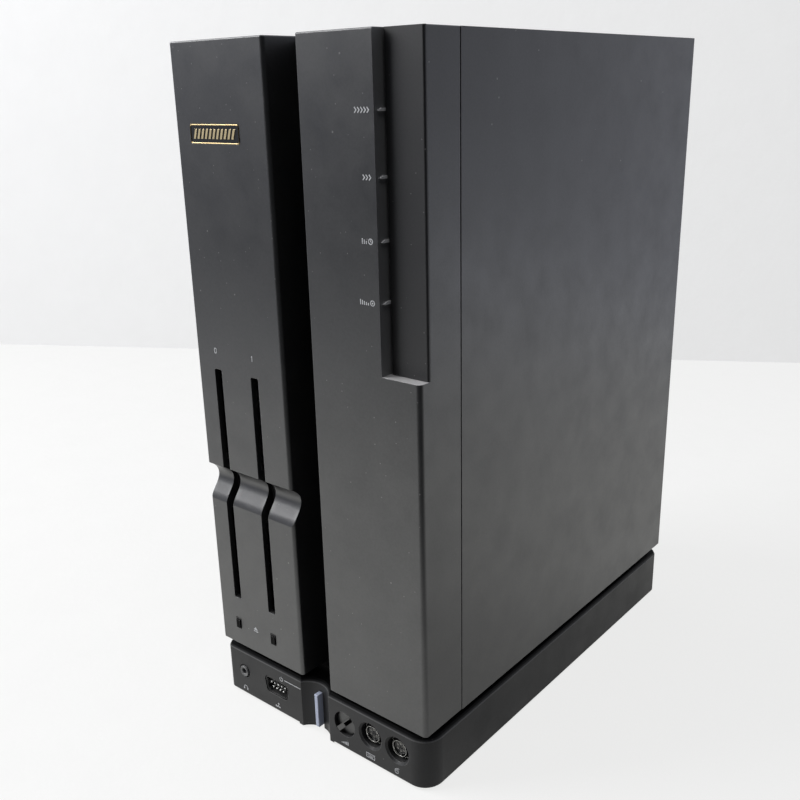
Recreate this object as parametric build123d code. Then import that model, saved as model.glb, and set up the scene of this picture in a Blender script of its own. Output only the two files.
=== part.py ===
from build123d import *
import os
from math import cos, radians, sin

os.makedirs("parts", exist_ok=True)

# Twin-tower home computer. Millimetres. X runs across the front, left to right, Y runs from
# the front to the back, Z is up. The origin is on the floor, under the middle of the object.

# ---- driving dimensions ----
WIDTH = 152.0            # overall, across both towers
DEPTH = 265.0            # tower front face to tower rear face
PROUD = 0.8              # how far buttons and sockets stand out of the front and rear faces
FOOT = 1.2               # gap under the base that the feet leave
BASE_HEIGHT = 28.85      # base housing, up to its shoulder
RIM_HEIGHT = 2.4         # steep rim above the shoulder, all round
RIM_SET_BACK = 1.2       # how far the rim leans in over its height
NECK_HEIGHT = 4.1        # dark gap between the base and the towers
TOWER_WIDTH = 65.7
TOWER_HEIGHT = 330.65
WALL = 2.5               # moulded walls and panels
FRONT_WALL = 3.0         # front wall of both bezels
BEZEL_DEPTH = 29.65      # front face back to the seam with the side panels
SEAM = 0.8               # width of the groove at the seam
SEAM_DEPTH = 1.2
EDGE = 0.7               # small edge rounding
INNER_CORNER = 2.0       # right front vertical edge of the left tower
OUTER_CORNER = 2.4       # right front vertical edge of the right tower
CLEAR = 0.3              # gap between things that move past each other
RUNNING = 0.05           # radial clearance of a shaft in its bore

# ---- levels and planes ----
FRONT = -DEPTH / 2
REAR = DEPTH / 2
BASE_BOTTOM = FOOT
BASE_SHOULDER = BASE_BOTTOM + BASE_HEIGHT
BASE_TOP = BASE_SHOULDER + RIM_HEIGHT
TOWER_BOTTOM = BASE_TOP + NECK_HEIGHT
TOWER_TOP = TOWER_BOTTOM + TOWER_HEIGHT
FLOOR_TOP = TOWER_BOTTOM + WALL          # upper face of each tower's floor
ROOF = TOWER_TOP - WALL                  # lower face of each tower's top
SEAM_Y = FRONT + BEZEL_DEPTH
REAR_INNER = REAR - WALL                 # inner face of the rear panels
SIDE = WIDTH / 2
GAP_SIDE = SIDE - TOWER_WIDTH            # half the gap between the towers
LEFT_TOWER = (-SIDE, -GAP_SIDE)
RIGHT_TOWER = (GAP_SIDE, SIDE)

# ---- base ----
BASE_FRONT = FRONT + 1.6
BASE_REAR = REAR - 3.2
BASE_CORNER = 11.5       # right front vertical corner
BASE_LEFT_CORNER = 3.0
BASE_REAR_CORNER = 4.0
BASE_EDGE = 0.5          # rounding of the top edge
SHOULDER_ROUND = 1.0     # rounding along the shoulder line
BASE_SKIRT = 1.5         # rounding of the bottom edge
BASE_INNER_FRONT = BASE_FRONT + WALL
PLATE = 1.5              # bottom plate
PLATE_TOP = BASE_BOTTOM + PLATE
BOARD_BOTTOM = 5.5       # jack board
BOARD = 1.6
BOARD_TOP = BOARD_BOTTOM + BOARD
BOARD_FRONT = FRONT + 14.5
BAY_X = -4.0             # concave bay for the power button
BAY_RADIUS = 12.8
BAY_DEPTH = 5.6
BAY_Y = BASE_FRONT + BAY_DEPTH - BAY_RADIUS
PHONES_X, PHONES_Z = -62.3, 17.3
JOYSTICK_X, JOYSTICK_Z = -34.9, 17.1
VOLUME_X, VOLUME_Z = 18.1, 17.2
KEYBOARD_X, MOUSE_X, ROUND_Z = 36.5, 55.0, 18.3
JACK_HOLE = 1.8          # radius of a 3.5 mm jack's hole
BUSHING_RADIUS = 3.4     # headphone jack's ring, and the hole it stands in
BUSHING_HOLE = 4.4
BUSHING_PROUD = 0.9
JOYSTICK_OPENING = (20.4, 10.6, 2.7)     # D opening in the base: width, height, corner radius
JOYSTICK_SHELL = (18.6, 9.6, 2.6)
SHEET = 0.5              # the shell's thickness
PIN_PITCH, PIN_ROW = 2.77, 1.42          # between pins of a row; each row from the middle
CUP_RADIUS = 7.1         # cups round the keyboard and mouse sockets
FLARE = 1.1              # how far their mouths open out, over the same depth
KNOB_CUP = 7.5
KNOB_RADIUS = 7.05
KNOB_FACE = 2.2          # from the base's front back to the knob's disc
KNOB_ANGLE = 46.0        # the grip's lean from level at rest
GRIP_WIDTH = 2.7
GRIP_RIDGE = 0.6         # what is left of the grip beside its notch
CUP_DEPTH = 5.0
CUP_WALL = 1.2
SHIELD_RADIUS, SHIELD_BORE = 4.85, 4.4   # plated ring of the keyboard and mouse sockets
SHIELD_SET_BACK = 2.3
INSERT_RADIUS = 3.75
BUTTON_X, BUTTON_WIDTH = -4.85, 2.5      # power button
BUTTON_Z = (3.9, 24.6)
BUTTON_SET_BACK = 1.8
BUTTON_TRAVEL = 3.0
FOOT_RADIUS = 8.0
FOOT_X, FOOT_Y = 60.0, 112.0
POST_SPOTS = [(x, y) for x in (-66.0, 66.0) for y in (-84.0, 0.0, 100.0)]

# ---- left tower ----
SLOT_X = (-60.6, -32.4)                  # disc slots
SLOT_WIDTH = 5.6
SLOT_MID = 136.35
SLOT_LENGTH = 137.0
EJECT_X = (-61.7, -32.8)
EJECT_Z = 51.1
EJECT_HOLE = (4.3, 7.0)
EJECT_CAP = (3.1, 5.8)
BADGE = (-65.7, -29.9, 320.0, 329.2)     # low x, high x, low z, high z
SCOOP_LOW = 126.8                        # lower end of the scoop on the front face
SCOOP_HIGH = 148.2
SCOOP_DEPTH = 6.6

# ---- disc drives ----
DRIVE_FRONT = FRONT + 10.5
DRIVE_REAR = FRONT + 216.0
DRIVE_HALF = 74.0                        # half the height of a drive
CHANNEL = 2.6                            # half the width of the disc channel
CHASSIS = 4.0                            # chassis plate
CLAMP_PLATE = 3.0
CLAMP_REAR = FRONT + 178.0
RAIL_HALF = 68.9                         # half the height of the channel
RAIL_REAR = FRONT + 145.0
HUB_Y = FRONT + 72.7                     # centre of a seated disc
HUB_RADIUS = 14.0
ROTOR_RADIUS = 30.0
CARRIAGE_FRONT = FRONT + 125.0           # at the outer track
CARRIAGE_REAR = FRONT + 172.0
CARRIAGE_TRAVEL = 21.0
PULLEY_RADIUS = 8.0
PULLEY_Y = FRONT + 198.0
PULLEY_Z = SLOT_MID + 21.5
GUIDE_Z = 11.5                           # guide rods, either side of the middle
GUIDE_RADIUS = 0.9

# ---- right tower ----
STRIP_X = 54.0                           # left wall of the corner recess
STRIP_DEPTH = 6.0
STRIP_GROOVE = 1.4
STRIP_PLATE = 1.5
LEDGE = 220.7
LENS_Z = (335.4, 308.1, 281.1, 254.0)
LENS_HALF = 0.65                         # half the height of a lens
TOP_BUTTON_X = 43.0
TOP_BUTTON_Y = (-86.0, -66.0)
TOP_BUTTON_RADIUS = 4.5

# ---- middle ----
SPINE_FRONT, SPINE_REAR = FRONT + 24.0, REAR - 24.0
SPINE_TOP = TOWER_TOP - 1.5
WELL_FLOOR = 350.0
WELL_HALF = 88.0
GRIP_HALF = 65.5
LEG_Y = 50.0

# ---- rear ----
FAN_X, FAN_Z, FAN_SIDE, FAN_DEPTH = -43.15, 318.0, 60.0, 20.0
FAN_BORE = 28.4
INLET_X, INLET_Z = -43.15, 252.0
SWITCH_X, SWITCH_Z = -43.15, 218.0
ROCKER_SWING = 12.0
SLOT_COVERS = (46.0, 64.0)
COVER_Z = (214.0, 346.0)
COVER_WIDTH = 14.0
MAIN_BOARD_X = 16.0
SOCKET_X = 26.0                          # column of rear sockets
REAR_D_SOCKETS = ((72.0, 39.0, 8), (122.0, 53.0, 13), (168.0, 31.0, 5))  # height, length, top row
REAR_JACKS = (196.0, 210.0, 224.0)
SQUARE_SOCKET_X = 56.0
SQUARE_SOCKETS = (70.0, 110.0, 150.0)
# Chips on the main board: middle Y and Z, length, height.
CHIPS = ((-70, 80, 34, 34), (-20, 80, 34, 34), (-70, 130, 28, 28), (-22, 130, 28, 28),
         (40, 95, 40, 22), (40, 130, 40, 22), (-60, 180, 50, 15), (-60, 204, 50, 15),
         (10, 180, 50, 15), (10, 204, 50, 15), (70, 180, 30, 15),
         (-40, 250, 36, 36), (20, 250, 30, 30), (-40, 310, 60, 14), (40, 310, 50, 14))


def block(x, y, z):
    """A box between three (low, high) pairs."""
    size = Box(x[1] - x[0], y[1] - y[0], z[1] - z[0])
    return Pos((x[0] + x[1]) / 2, (y[0] + y[1]) / 2, (z[0] + z[1]) / 2) * size


def rod_x(radius, x, y, z):
    """A cylinder along X between the two values of x."""
    return Pos((x[0] + x[1]) / 2, y, z) * Rot(0, 90, 0) * Cylinder(radius, x[1] - x[0])


def rod_y(radius, x, y, z):
    """A cylinder along Y between the two values of y."""
    return Pos(x, (y[0] + y[1]) / 2, z) * Rot(90, 0, 0) * Cylinder(radius, y[1] - y[0])


def rod_z(radius, x, y, z):
    """A cylinder along Z between the two values of z."""
    return Pos(x, y, (z[0] + z[1]) / 2) * Cylinder(radius, z[1] - z[0])


def upright_edges(shape, x, y):
    """The vertical edges of a shape that stand at one corner of its plan."""
    edges = shape.edges().filter_by(Axis.Z)
    return edges.filter_by(lambda e: abs(e.center().X - x) < 0.01 and abs(e.center().Y - y) < 0.01)


def edges_in_plane(shape, axis, value):
    """The edges that lie wholly in one plane across an axis."""
    return shape.edges().filter_by_position(axis, value - 0.01, value + 0.01)


def save(name, *pieces):
    """Writes one node: the separate solids of one sub-part."""
    solids = [solid for piece in pieces for solid in piece.solids()]
    export_step(Compound(children=solids) if len(solids) > 1 else solids[0], f"parts/{name}.step")


def d_outline(x, z, width, height, radius):
    """A D-shaped socket outline, wide at the top, on the XZ plane's local axes."""
    lean = height * 0.176
    corners = [(-width / 2, height / 2), (width / 2, height / 2),
               (width / 2 - lean, -height / 2), (-width / 2 + lean, -height / 2)]
    face = make_face(Polyline(*corners, close=True))
    return Pos(x, 0, z) * Plane.XZ.location * fillet(face.vertices(), radius)


def d_solid(x, z, width, height, radius, y):
    """The D outline carried from y[0] back to y[1]."""
    return Pos(0, y[1], 0) * extrude(d_outline(x, z, width, height, radius), y[1] - y[0])


def screw(x, y, z, inward):
    """A pan-head screw whose head's underside is at (x, y, z); its shank runs along inward."""
    head = Pos(0, 0, -PROUD / 2) * Cylinder(2.8, PROUD)
    shank = Pos(0, 0, 3.0) * Cylinder(1.4, 6.0)
    cross = Pos(0, 0, -PROUD) * (Box(3.2, 0.7, 0.9) + Box(0.7, 3.2, 0.9))
    return Plane(origin=(x, y, z), z_dir=inward).location * (head + shank - cross)


# ---------------------------------------------------------------- base

def bay_cut(radius):
    return rod_z(radius, BAY_X, BAY_Y, (BASE_BOTTOM - 5, BASE_TOP + 5))


def bay_rim_cut():
    """The cone that carries the rim's lean round the bay."""
    cone = Cone(BAY_RADIUS, BAY_RADIUS + RIM_SET_BACK, RIM_HEIGHT)
    return Pos(BAY_X, BAY_Y, BASE_SHOULDER + RIM_HEIGHT / 2) * cone


def cup(radius, x, z, depth):
    """The tube behind the front wall that forms a socket's cup."""
    return rod_y(radius + CUP_WALL, x, (BASE_INNER_FRONT, BASE_FRONT + depth), z)


def flare(radius, x, z):
    """The cone that opens out a cup's mouth."""
    return Pos(x, BASE_FRONT + FLARE / 2, z) * Rot(90, 0, 0) * Cone(radius, radius + FLARE, FLARE)


def leaning_rim(shell):
    """Cuts the steep rim along the top edges, and rounds the shoulder line under it."""
    top = shell.faces().sort_by(Axis.Z)[-1]
    shell = chamfer(top.edges(), RIM_SET_BACK, RIM_HEIGHT, reference=top)
    shell = fillet(edges_in_plane(shell, Axis.Z, BASE_TOP), BASE_EDGE)
    return fillet(edges_in_plane(shell, Axis.Z, BASE_SHOULDER), SHOULDER_ROUND)


def base_housing():
    shell = block((-SIDE, SIDE), (BASE_FRONT, BASE_REAR), (BASE_BOTTOM, BASE_TOP))
    shell = fillet(upright_edges(shell, SIDE, BASE_FRONT), BASE_CORNER)
    rear_corners = upright_edges(shell, SIDE, BASE_REAR) + upright_edges(shell, -SIDE, BASE_REAR)
    shell = fillet(rear_corners, BASE_REAR_CORNER)
    shell = fillet(upright_edges(shell, -SIDE, BASE_FRONT), BASE_LEFT_CORNER)
    shell = leaning_rim(shell)
    shell = fillet(edges_in_plane(shell, Axis.Z, BASE_BOTTOM), BASE_SKIRT)
    room = block((-SIDE + WALL, SIDE - WALL), (BASE_INNER_FRONT, BASE_REAR - WALL),
                 (BASE_BOTTOM - 1, BASE_TOP - WALL))
    room = fillet(upright_edges(room, SIDE - WALL, BASE_INNER_FRONT), BASE_CORNER - WALL)
    posts = [rod_z(3.5, x, y, (PLATE_TOP, BASE_TOP - WALL)) for x, y in POST_SPOTS]
    bay_wall = bay_cut(BAY_RADIUS + WALL) & block((-40, 40), (BASE_FRONT, BASE_FRONT + 12),
                                                  (BASE_BOTTOM, BASE_SHOULDER))
    shell = shell - room + posts + bay_wall
    shell += cup(KNOB_CUP, VOLUME_X, VOLUME_Z, CUP_DEPTH + 3.5)
    shell += [cup(CUP_RADIUS, x, ROUND_Z, CUP_DEPTH) for x in (KEYBOARD_X, MOUSE_X)]
    through = (BASE_FRONT - 2, BASE_FRONT + 14)
    shell = shell - bay_cut(BAY_RADIUS) - bay_rim_cut()
    shell -= rod_y(BUSHING_HOLE, PHONES_X, through, PHONES_Z)
    shell -= d_solid(JOYSTICK_X, JOYSTICK_Z, *JOYSTICK_OPENING, through)
    shell -= rod_y(KNOB_CUP, VOLUME_X, through, VOLUME_Z)
    for x in (KEYBOARD_X, MOUSE_X):
        shell = shell - rod_y(CUP_RADIUS, x, through, ROUND_Z) - flare(CUP_RADIUS, x, ROUND_Z)
    half_slot = BUTTON_WIDTH / 2 + CLEAR
    shell -= block((BUTTON_X - half_slot, BUTTON_X + half_slot), (BASE_FRONT, BASE_FRONT + 14),
                   (BASE_BOTTOM - 1, BUTTON_Z[1] + CLEAR))
    shell -= [rod_z(1.5, x, y, (0, 12)) for x, y in POST_SPOTS]
    save("base_housing", shell)


def base_bottom_plate():
    plate = block((-SIDE + WALL, SIDE - WALL), (BASE_INNER_FRONT, BASE_REAR - WALL),
                  (BASE_BOTTOM, PLATE_TOP))
    plate = fillet(upright_edges(plate, SIDE - WALL, BASE_INNER_FRONT), BASE_CORNER - WALL)
    plate -= bay_cut(BAY_RADIUS + WALL)
    plate -= [rod_z(1.5, x, y, (0, 12)) for x, y in POST_SPOTS]
    for row in range(7):
        y = 20 + (row - 3) * 6.0
        reach = (26.0 ** 2 - (y - 20) ** 2) ** 0.5 - 2
        plate -= block((30 - reach, 30 + reach), (y - 1.2, y + 1.2), (0, 5))
    for x in (-66.0, -22.0, 27.0, 62.0):
        plate += rod_z(3.0, x, BOARD_FRONT + 20.0, (PLATE_TOP, BOARD_BOTTOM))
    save("base_bottom_plate", plate)


def rubber_feet():
    feet = []
    for x in (-FOOT_X, FOOT_X):
        for y in (-FOOT_Y, FOOT_Y):
            foot = rod_z(FOOT_RADIUS, x, y, (0, FOOT))
            feet.append(fillet(edges_in_plane(foot, Axis.Z, 0), 0.5))
    save("rubber_feet", *feet)


def jack_board():
    board = block((-70, 68), (BOARD_FRONT, BOARD_FRONT + 26), (BOARD_BOTTOM, BOARD_TOP))
    board -= block((BUTTON_X - 6, BUTTON_X + 6), (BOARD_FRONT - 1, BOARD_FRONT + 8),
                   (BOARD_BOTTOM - 1, BOARD_TOP + 1))
    save("jack_board", board)


def phones_jack():
    body = block((PHONES_X - 6, PHONES_X + 6), (BASE_INNER_FRONT, BASE_INNER_FRONT + 17),
                 (BOARD_TOP, PHONES_Z + 6.5))
    rim = BASE_FRONT - BUSHING_PROUD
    ring = rod_y(BUSHING_RADIUS, PHONES_X, (rim, BASE_INNER_FRONT), PHONES_Z)
    ring = chamfer(edges_in_plane(ring, Axis.Y, rim), 0.3)
    hole = rod_y(JACK_HOLE, PHONES_X, (rim - 1, BASE_INNER_FRONT + 12), PHONES_Z)
    save("phones_jack", body + ring - hole)


def joystick_socket():
    mouth = BASE_FRONT + 0.5
    shell = d_solid(JOYSTICK_X, JOYSTICK_Z, *JOYSTICK_SHELL, (mouth, BASE_INNER_FRONT + 6))
    flange = block((JOYSTICK_X - 15.4, JOYSTICK_X + 15.4), (BASE_INNER_FRONT, BASE_INNER_FRONT + 0.8),
                   (JOYSTICK_Z - 6.2, JOYSTICK_Z + 6.2))
    width, height, radius = JOYSTICK_SHELL
    inside = (width - 2 * SHEET, height - 2 * SHEET, radius - SHEET)
    hollow = d_solid(JOYSTICK_X, JOYSTICK_Z, *inside, (mouth - 1, BASE_INNER_FRONT + 8))
    save("joystick_socket_shell", shell + flange - hollow)
    floor = mouth + 5.2
    core = d_solid(JOYSTICK_X, JOYSTICK_Z, *inside, (floor, BASE_INNER_FRONT + 6))
    core += block((JOYSTICK_X - 12, JOYSTICK_X + 12), (BASE_INNER_FRONT + 6, BASE_INNER_FRONT + 14),
                  (BOARD_TOP, JOYSTICK_Z + 6))
    for count, z in ((5, PIN_ROW), (4, -PIN_ROW)):
        for i in range(count):
            x = JOYSTICK_X + (i - (count - 1) / 2) * PIN_PITCH
            core += rod_y(0.5, x, (mouth + 0.4, floor), JOYSTICK_Z + z)
    save("joystick_socket_pins", core)


def round_socket(name, x):
    """A shielded round socket at the bottom of its cup."""
    back = BASE_FRONT + CUP_DEPTH
    body = block((x - 7.3, x + 7.3), (back, back + 12), (BOARD_TOP, ROUND_Z + 6.8))
    shield_front = BASE_FRONT + SHIELD_SET_BACK
    body += rod_y(SHIELD_RADIUS, x, (shield_front, back), ROUND_Z)
    body -= rod_y(SHIELD_BORE, x, (shield_front - 1, back - 0.5), ROUND_Z)
    body += rod_y(INSERT_RADIUS, x, (shield_front + 1.0, back), ROUND_Z)
    for i in range(6):
        angle = radians(30 + 60 * i)
        body -= rod_y(0.45, x + 2.5 * cos(angle), (shield_front, back + 2), ROUND_Z + 2.5 * sin(angle))
    body -= block((x - 0.9, x + 0.9), (shield_front, back + 1), (ROUND_Z - 0.5, ROUND_Z + 0.5))
    save(name, body)


def power_button():
    """The pale bar in the bay, with a narrower stem behind it that reaches the switch."""
    front, wall = BASE_FRONT + BUTTON_SET_BACK, BASE_FRONT + BAY_DEPTH
    half = BUTTON_WIDTH / 2
    bar = block((BUTTON_X - half, BUTTON_X + half), (front, wall + 3.6), BUTTON_Z)
    bar = fillet(bar.edges().filter_by_position(Axis.Y, front - 0.1, front + 0.1), 0.3)
    stem = block((BUTTON_X - half, BUTTON_X + half), (wall + 3.6, wall + 11), (12, 20))
    save("power_button", bar + stem)


def power_switch_unit():
    front = BASE_FRONT + BAY_DEPTH + 11 + BUTTON_TRAVEL + CLEAR
    body = block((BUTTON_X - 6, BUTTON_X + 6), (front, front + 12), (BOARD_TOP, 22))
    save("power_switch_unit", body)


def volume_knob():
    """A disc with a grip across it; beside the grip's ridge a notch runs out to the upper right."""
    face = BASE_FRONT + KNOB_FACE
    turned = Pos(VOLUME_X, 0, VOLUME_Z) * Rot(0, -KNOB_ANGLE, 0)
    half = GRIP_WIDTH / 2
    disc = rod_y(KNOB_RADIUS, VOLUME_X, (face, face + 3.2), VOLUME_Z)
    disc = fillet(edges_in_plane(disc, Axis.Y, face), 0.4)
    grip = turned * block((-KNOB_RADIUS, KNOB_RADIUS), (BASE_FRONT, face + 0.5), (-half, half))
    grip &= rod_y(KNOB_RADIUS, VOLUME_X, (BASE_FRONT - 1, face + 1), VOLUME_Z)
    notch = turned * block((0, KNOB_RADIUS + 1), (BASE_FRONT - 1, face + 1.6),
                           (-half, half - GRIP_RIDGE))
    shaft = rod_y(3.0, VOLUME_X, (face + 3.2, face + 14), VOLUME_Z)
    save("volume_knob", disc + grip - notch + shaft)


def volume_control():
    front = BASE_FRONT + 12.5
    body = block((VOLUME_X - 8, VOLUME_X + 8), (front, front + 9), (BOARD_TOP, VOLUME_Z + 8))
    body += rod_y(4.5, VOLUME_X, (front - 3, front), VOLUME_Z)
    body -= rod_y(3.0 + RUNNING, VOLUME_X, (front - 4, front + 6), VOLUME_Z)
    save("volume_control", body)


def speaker():
    centre = (30, 20)
    cone = Pos(*centre, PLATE_TOP + 6) * Cone(26, 11, 12)
    cone += rod_z(28, *centre, (PLATE_TOP, PLATE_TOP + 3))
    cone += rod_z(14, *centre, (PLATE_TOP + 9, PLATE_TOP + 20))
    cone -= Pos(*centre, PLATE_TOP + 5) * Cone(24, 9, 10)
    save("speaker", cone)


def tower_frame():
    """The cast frame: the narrow neck on the base and the floor of each tower."""
    neck = block((-66, 66), (FRONT + 14.5, REAR - 14.5), (BASE_TOP, TOWER_BOTTOM))
    inner = (GAP_SIDE + WALL, SIDE - WALL)
    for side in (-1, 1):
        x = sorted((side * inner[0], side * inner[1]))
        neck += block(x, (SEAM_Y, REAR_INNER), (TOWER_BOTTOM, FLOOR_TOP))
    save("tower_frame", neck)


# ---------------------------------------------------------------- towers

def bezel_block(x, corner):
    """The outer block of a tower's front bezel, with its edges rounded."""
    shape = block(x, (FRONT, SEAM_Y), (TOWER_BOTTOM, TOWER_TOP))
    shape = fillet(upright_edges(shape, x[1], FRONT), corner)
    shape = fillet(upright_edges(shape, x[0], FRONT), EDGE)
    ends = edges_in_plane(shape, Axis.Z, TOWER_BOTTOM) + edges_in_plane(shape, Axis.Z, TOWER_TOP)
    return fillet(ends.filter_by(lambda e: e.center().Y < SEAM_Y - 0.1), EDGE)


def bezel_room(x):
    return block((x[0] + WALL, x[1] - WALL), (FRONT + FRONT_WALL, SEAM_Y + 1), (FLOOR_TOP, ROOF))


def scoop(offset):
    """The scoop across the left tower's front; offset moves its surface back from the real one."""
    low = (FRONT - 1, SCOOP_LOW - 1.8 - offset)
    high = (FRONT - 1, SCOOP_HIGH + 0.5 + offset)
    start = (FRONT, SCOOP_LOW - offset)
    end = (FRONT, SCOOP_HIGH + offset)
    bend = Spline(start, (FRONT + 1.8 + offset / 2, SCOOP_LOW + 3.9 - offset / 2),
                  (FRONT + 5.0 + offset, SCOOP_LOW + 8.4),
                  (FRONT + SCOOP_DEPTH + offset, SCOOP_LOW + 13.0),
                  (FRONT + 5.6 + offset, SCOOP_HIGH - 4.7),
                  (FRONT + 2.3 + offset, SCOOP_HIGH - 1.4), end)
    outline = make_face([bend, Line(end, high), Line(high, low), Line(low, start)])
    x = LEFT_TOWER
    return Pos(x[0] - 1, 0, 0) * extrude(Plane.YZ.location * outline, TOWER_WIDTH + 2)


def left_front_bezel():
    x = LEFT_TOWER
    shell = bezel_block(x, INNER_CORNER) - bezel_room(x)
    behind = block((x[0] + WALL, x[1] - WALL), (FRONT + 2, FRONT + SCOOP_DEPTH + FRONT_WALL),
                   (SCOOP_LOW - 4, SCOOP_HIGH + 4))
    shell = shell + behind - scoop(0)
    through = (FRONT - 2, FRONT + 12)
    for slot_x in SLOT_X:
        slot = block((slot_x - SLOT_WIDTH / 2, slot_x + SLOT_WIDTH / 2), through,
                     (SLOT_MID - SLOT_LENGTH / 2, SLOT_MID + SLOT_LENGTH / 2))
        shell -= fillet(slot.edges().filter_by(Axis.Y), 1.0)
    for eject_x in EJECT_X:
        hole = Pos(eject_x, FRONT, EJECT_Z) * Box(EJECT_HOLE[0], 4 * FRONT_WALL, EJECT_HOLE[1])
        shell -= fillet(hole.edges().filter_by(Axis.Y), 0.5)
    shell -= block((BADGE[0], BADGE[1]), (FRONT - 1, FRONT + 0.6), (BADGE[2], BADGE[3]))
    save("left_front_bezel", shell)


def badge_plate():
    inset = 0.1
    plate = block((BADGE[0] + inset, BADGE[1] - inset), (FRONT - 0.4, FRONT + 0.6),
                  (BADGE[2] + inset, BADGE[3] - inset))
    save("badge_plate", chamfer(edges_in_plane(plate, Axis.Y, FRONT - 0.4), 0.3))


def right_front_bezel():
    x = RIGHT_TOWER
    back = FRONT + STRIP_DEPTH + STRIP_PLATE
    shell = bezel_block(x, OUTER_CORNER) - bezel_room(x)
    shell += block((STRIP_X - WALL, x[1] - WALL), (FRONT + 2, back + WALL), (LEDGE - WALL, ROOF))
    shell -= block((STRIP_X, x[1] + 1), (FRONT - 1, back), (LEDGE, TOWER_TOP + 1))
    save("right_front_bezel", shell)


def indicator_strip():
    face = FRONT + STRIP_DEPTH
    plate = block((STRIP_X + STRIP_GROOVE, SIDE), (face, face + STRIP_PLATE), (LEDGE, TOWER_TOP))
    save("indicator_strip", fillet(upright_edges(plate, SIDE, face), 1.0))


def indicator_lenses():
    """Four small wedge lenses on the recess's left wall, pointing forward."""
    lenses = []
    for z in LENS_Z:
        low, high = z - LENS_HALF, z + LENS_HALF
        side = make_face(Polyline((FRONT + 1.8, z - 0.3), (FRONT + 4.2, high), (FRONT + 7.2, high),
                                  (FRONT + 7.2, low), (FRONT + 2.8, low), close=True))
        lenses.append(Pos(STRIP_X, 0, 0) * extrude(Plane.YZ.location * side, 0.9))
    save("indicator_lenses", *lenses)


def side_panel(name, x, outer):
    """One side of a tower behind its bezel; outer is the X of its outside face."""
    panel = block(x, (SEAM_Y, REAR), (TOWER_BOTTOM, TOWER_TOP))
    panel = fillet(upright_edges(panel, outer, REAR), 1.5)
    panel -= block((outer - SEAM_DEPTH, outer + SEAM_DEPTH), (SEAM_Y - 1, SEAM_Y + SEAM),
                   (TOWER_BOTTOM - 1, TOWER_TOP + 1))
    save(name, panel)


def top_cover(name, x, buttons):
    cover = block((x[0] + WALL, x[1] - WALL), (SEAM_Y, REAR_INNER), (ROOF, TOWER_TOP))
    first = -30.0 if buttons else -70.0
    for bank in (-1, 1):
        middle = (x[0] + x[1]) / 2 + bank * 14.0
        for row in range(12 if buttons else 16):
            y = first + row * 11.0
            cover -= block((middle - 11, middle + 11), (y - 1.5, y + 1.5), (ROOF - 1, TOWER_TOP + 1))
    if buttons:
        for y in TOP_BUTTON_Y:
            cover -= rod_z(TOP_BUTTON_RADIUS + CLEAR, TOP_BUTTON_X, y, (ROOF - 1, TOWER_TOP + 1))
    save(name, cover)


def top_button(name, y):
    """A round button flush in the right tower's top, kept in by a flange under the cover."""
    cap = rod_z(TOP_BUTTON_RADIUS, TOP_BUTTON_X, y, (ROOF - 4, TOWER_TOP - 0.3))
    cap = fillet(edges_in_plane(cap, Axis.Z, TOWER_TOP - 0.3), 0.6)
    flange = rod_z(TOP_BUTTON_RADIUS + 1.5, TOP_BUTTON_X, y, (ROOF - 1.8, ROOF - CLEAR))
    save(name, cap + flange)


def panel_screw_spots(x):
    inset = WALL + 6.0
    return [(px, pz) for px in (x[0] + inset, x[1] - inset) for pz in (TOWER_BOTTOM + 9, TOWER_TOP - 9)]


def rear_panel_blank(x):
    panel = block((x[0] + WALL, x[1] - WALL), (REAR_INNER, REAR), (TOWER_BOTTOM, TOWER_TOP))
    return panel - [rod_y(1.5, px, (REAR - 5, REAR + 1), pz) for px, pz in panel_screw_spots(x)]


def left_rear_panel():
    panel = rear_panel_blank(LEFT_TOWER)
    through = (REAR - 5, REAR + 1)
    bars = 9
    for i in range(bars):
        offset = (i - (bars - 1) / 2) * 5.6
        reach = ((FAN_BORE - 1.5) ** 2 - offset ** 2) ** 0.5 - 1
        level = FAN_Z + offset
        panel -= block((FAN_X - reach, FAN_X + reach), through, (level - 1.7, level + 1.7))
    panel -= block((INLET_X - 13.6, INLET_X + 13.6), through, (INLET_Z - 10.1, INLET_Z + 10.1))
    panel -= block((SWITCH_X - 10.6, SWITCH_X + 10.6), through, (SWITCH_Z - 7.1, SWITCH_Z + 7.1))
    for row in range(10):
        z = 60.0 + row * 13.0
        panel -= block((-66, -20), through, (z - 1.5, z + 1.5))
    save("left_rear_panel", panel)


def right_rear_panel():
    panel = rear_panel_blank(RIGHT_TOWER)
    through = (REAR - 5, REAR + 1)
    for z, length, _ in REAR_D_SOCKETS:
        panel -= block((SOCKET_X - 6.5, SOCKET_X + 6.5), through, (z - length / 2, z + length / 2))
    panel -= [rod_y(4.6, SOCKET_X, through, z) for z in REAR_JACKS]
    for z in SQUARE_SOCKETS:
        panel -= block((SQUARE_SOCKET_X - 7, SQUARE_SOCKET_X + 7), through, (z - 12, z + 12))
    for x in SLOT_COVERS:
        panel -= block((x - 6, x + 6), through, (COVER_Z[0] + 8, COVER_Z[1] - 8))
        panel -= [rod_y(1.5, x, through, z) for z in (COVER_Z[0] + 4, COVER_Z[1] - 4)]
    save("right_rear_panel", panel)


def slot_covers():
    covers = []
    for x in SLOT_COVERS:
        cover = block((x - COVER_WIDTH / 2, x + COVER_WIDTH / 2), (REAR, REAR + 0.6), COVER_Z)
        cover -= [rod_y(1.5, x, (REAR - 1, REAR + 2), z) for z in (COVER_Z[0] + 4, COVER_Z[1] - 4)]
        cover += block((x - 5.8, x + 5.8), (REAR - WALL, REAR), (COVER_Z[0] + 8.2, COVER_Z[1] - 8.2))
        covers.append(cover)
    save("slot_covers", *covers)


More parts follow.
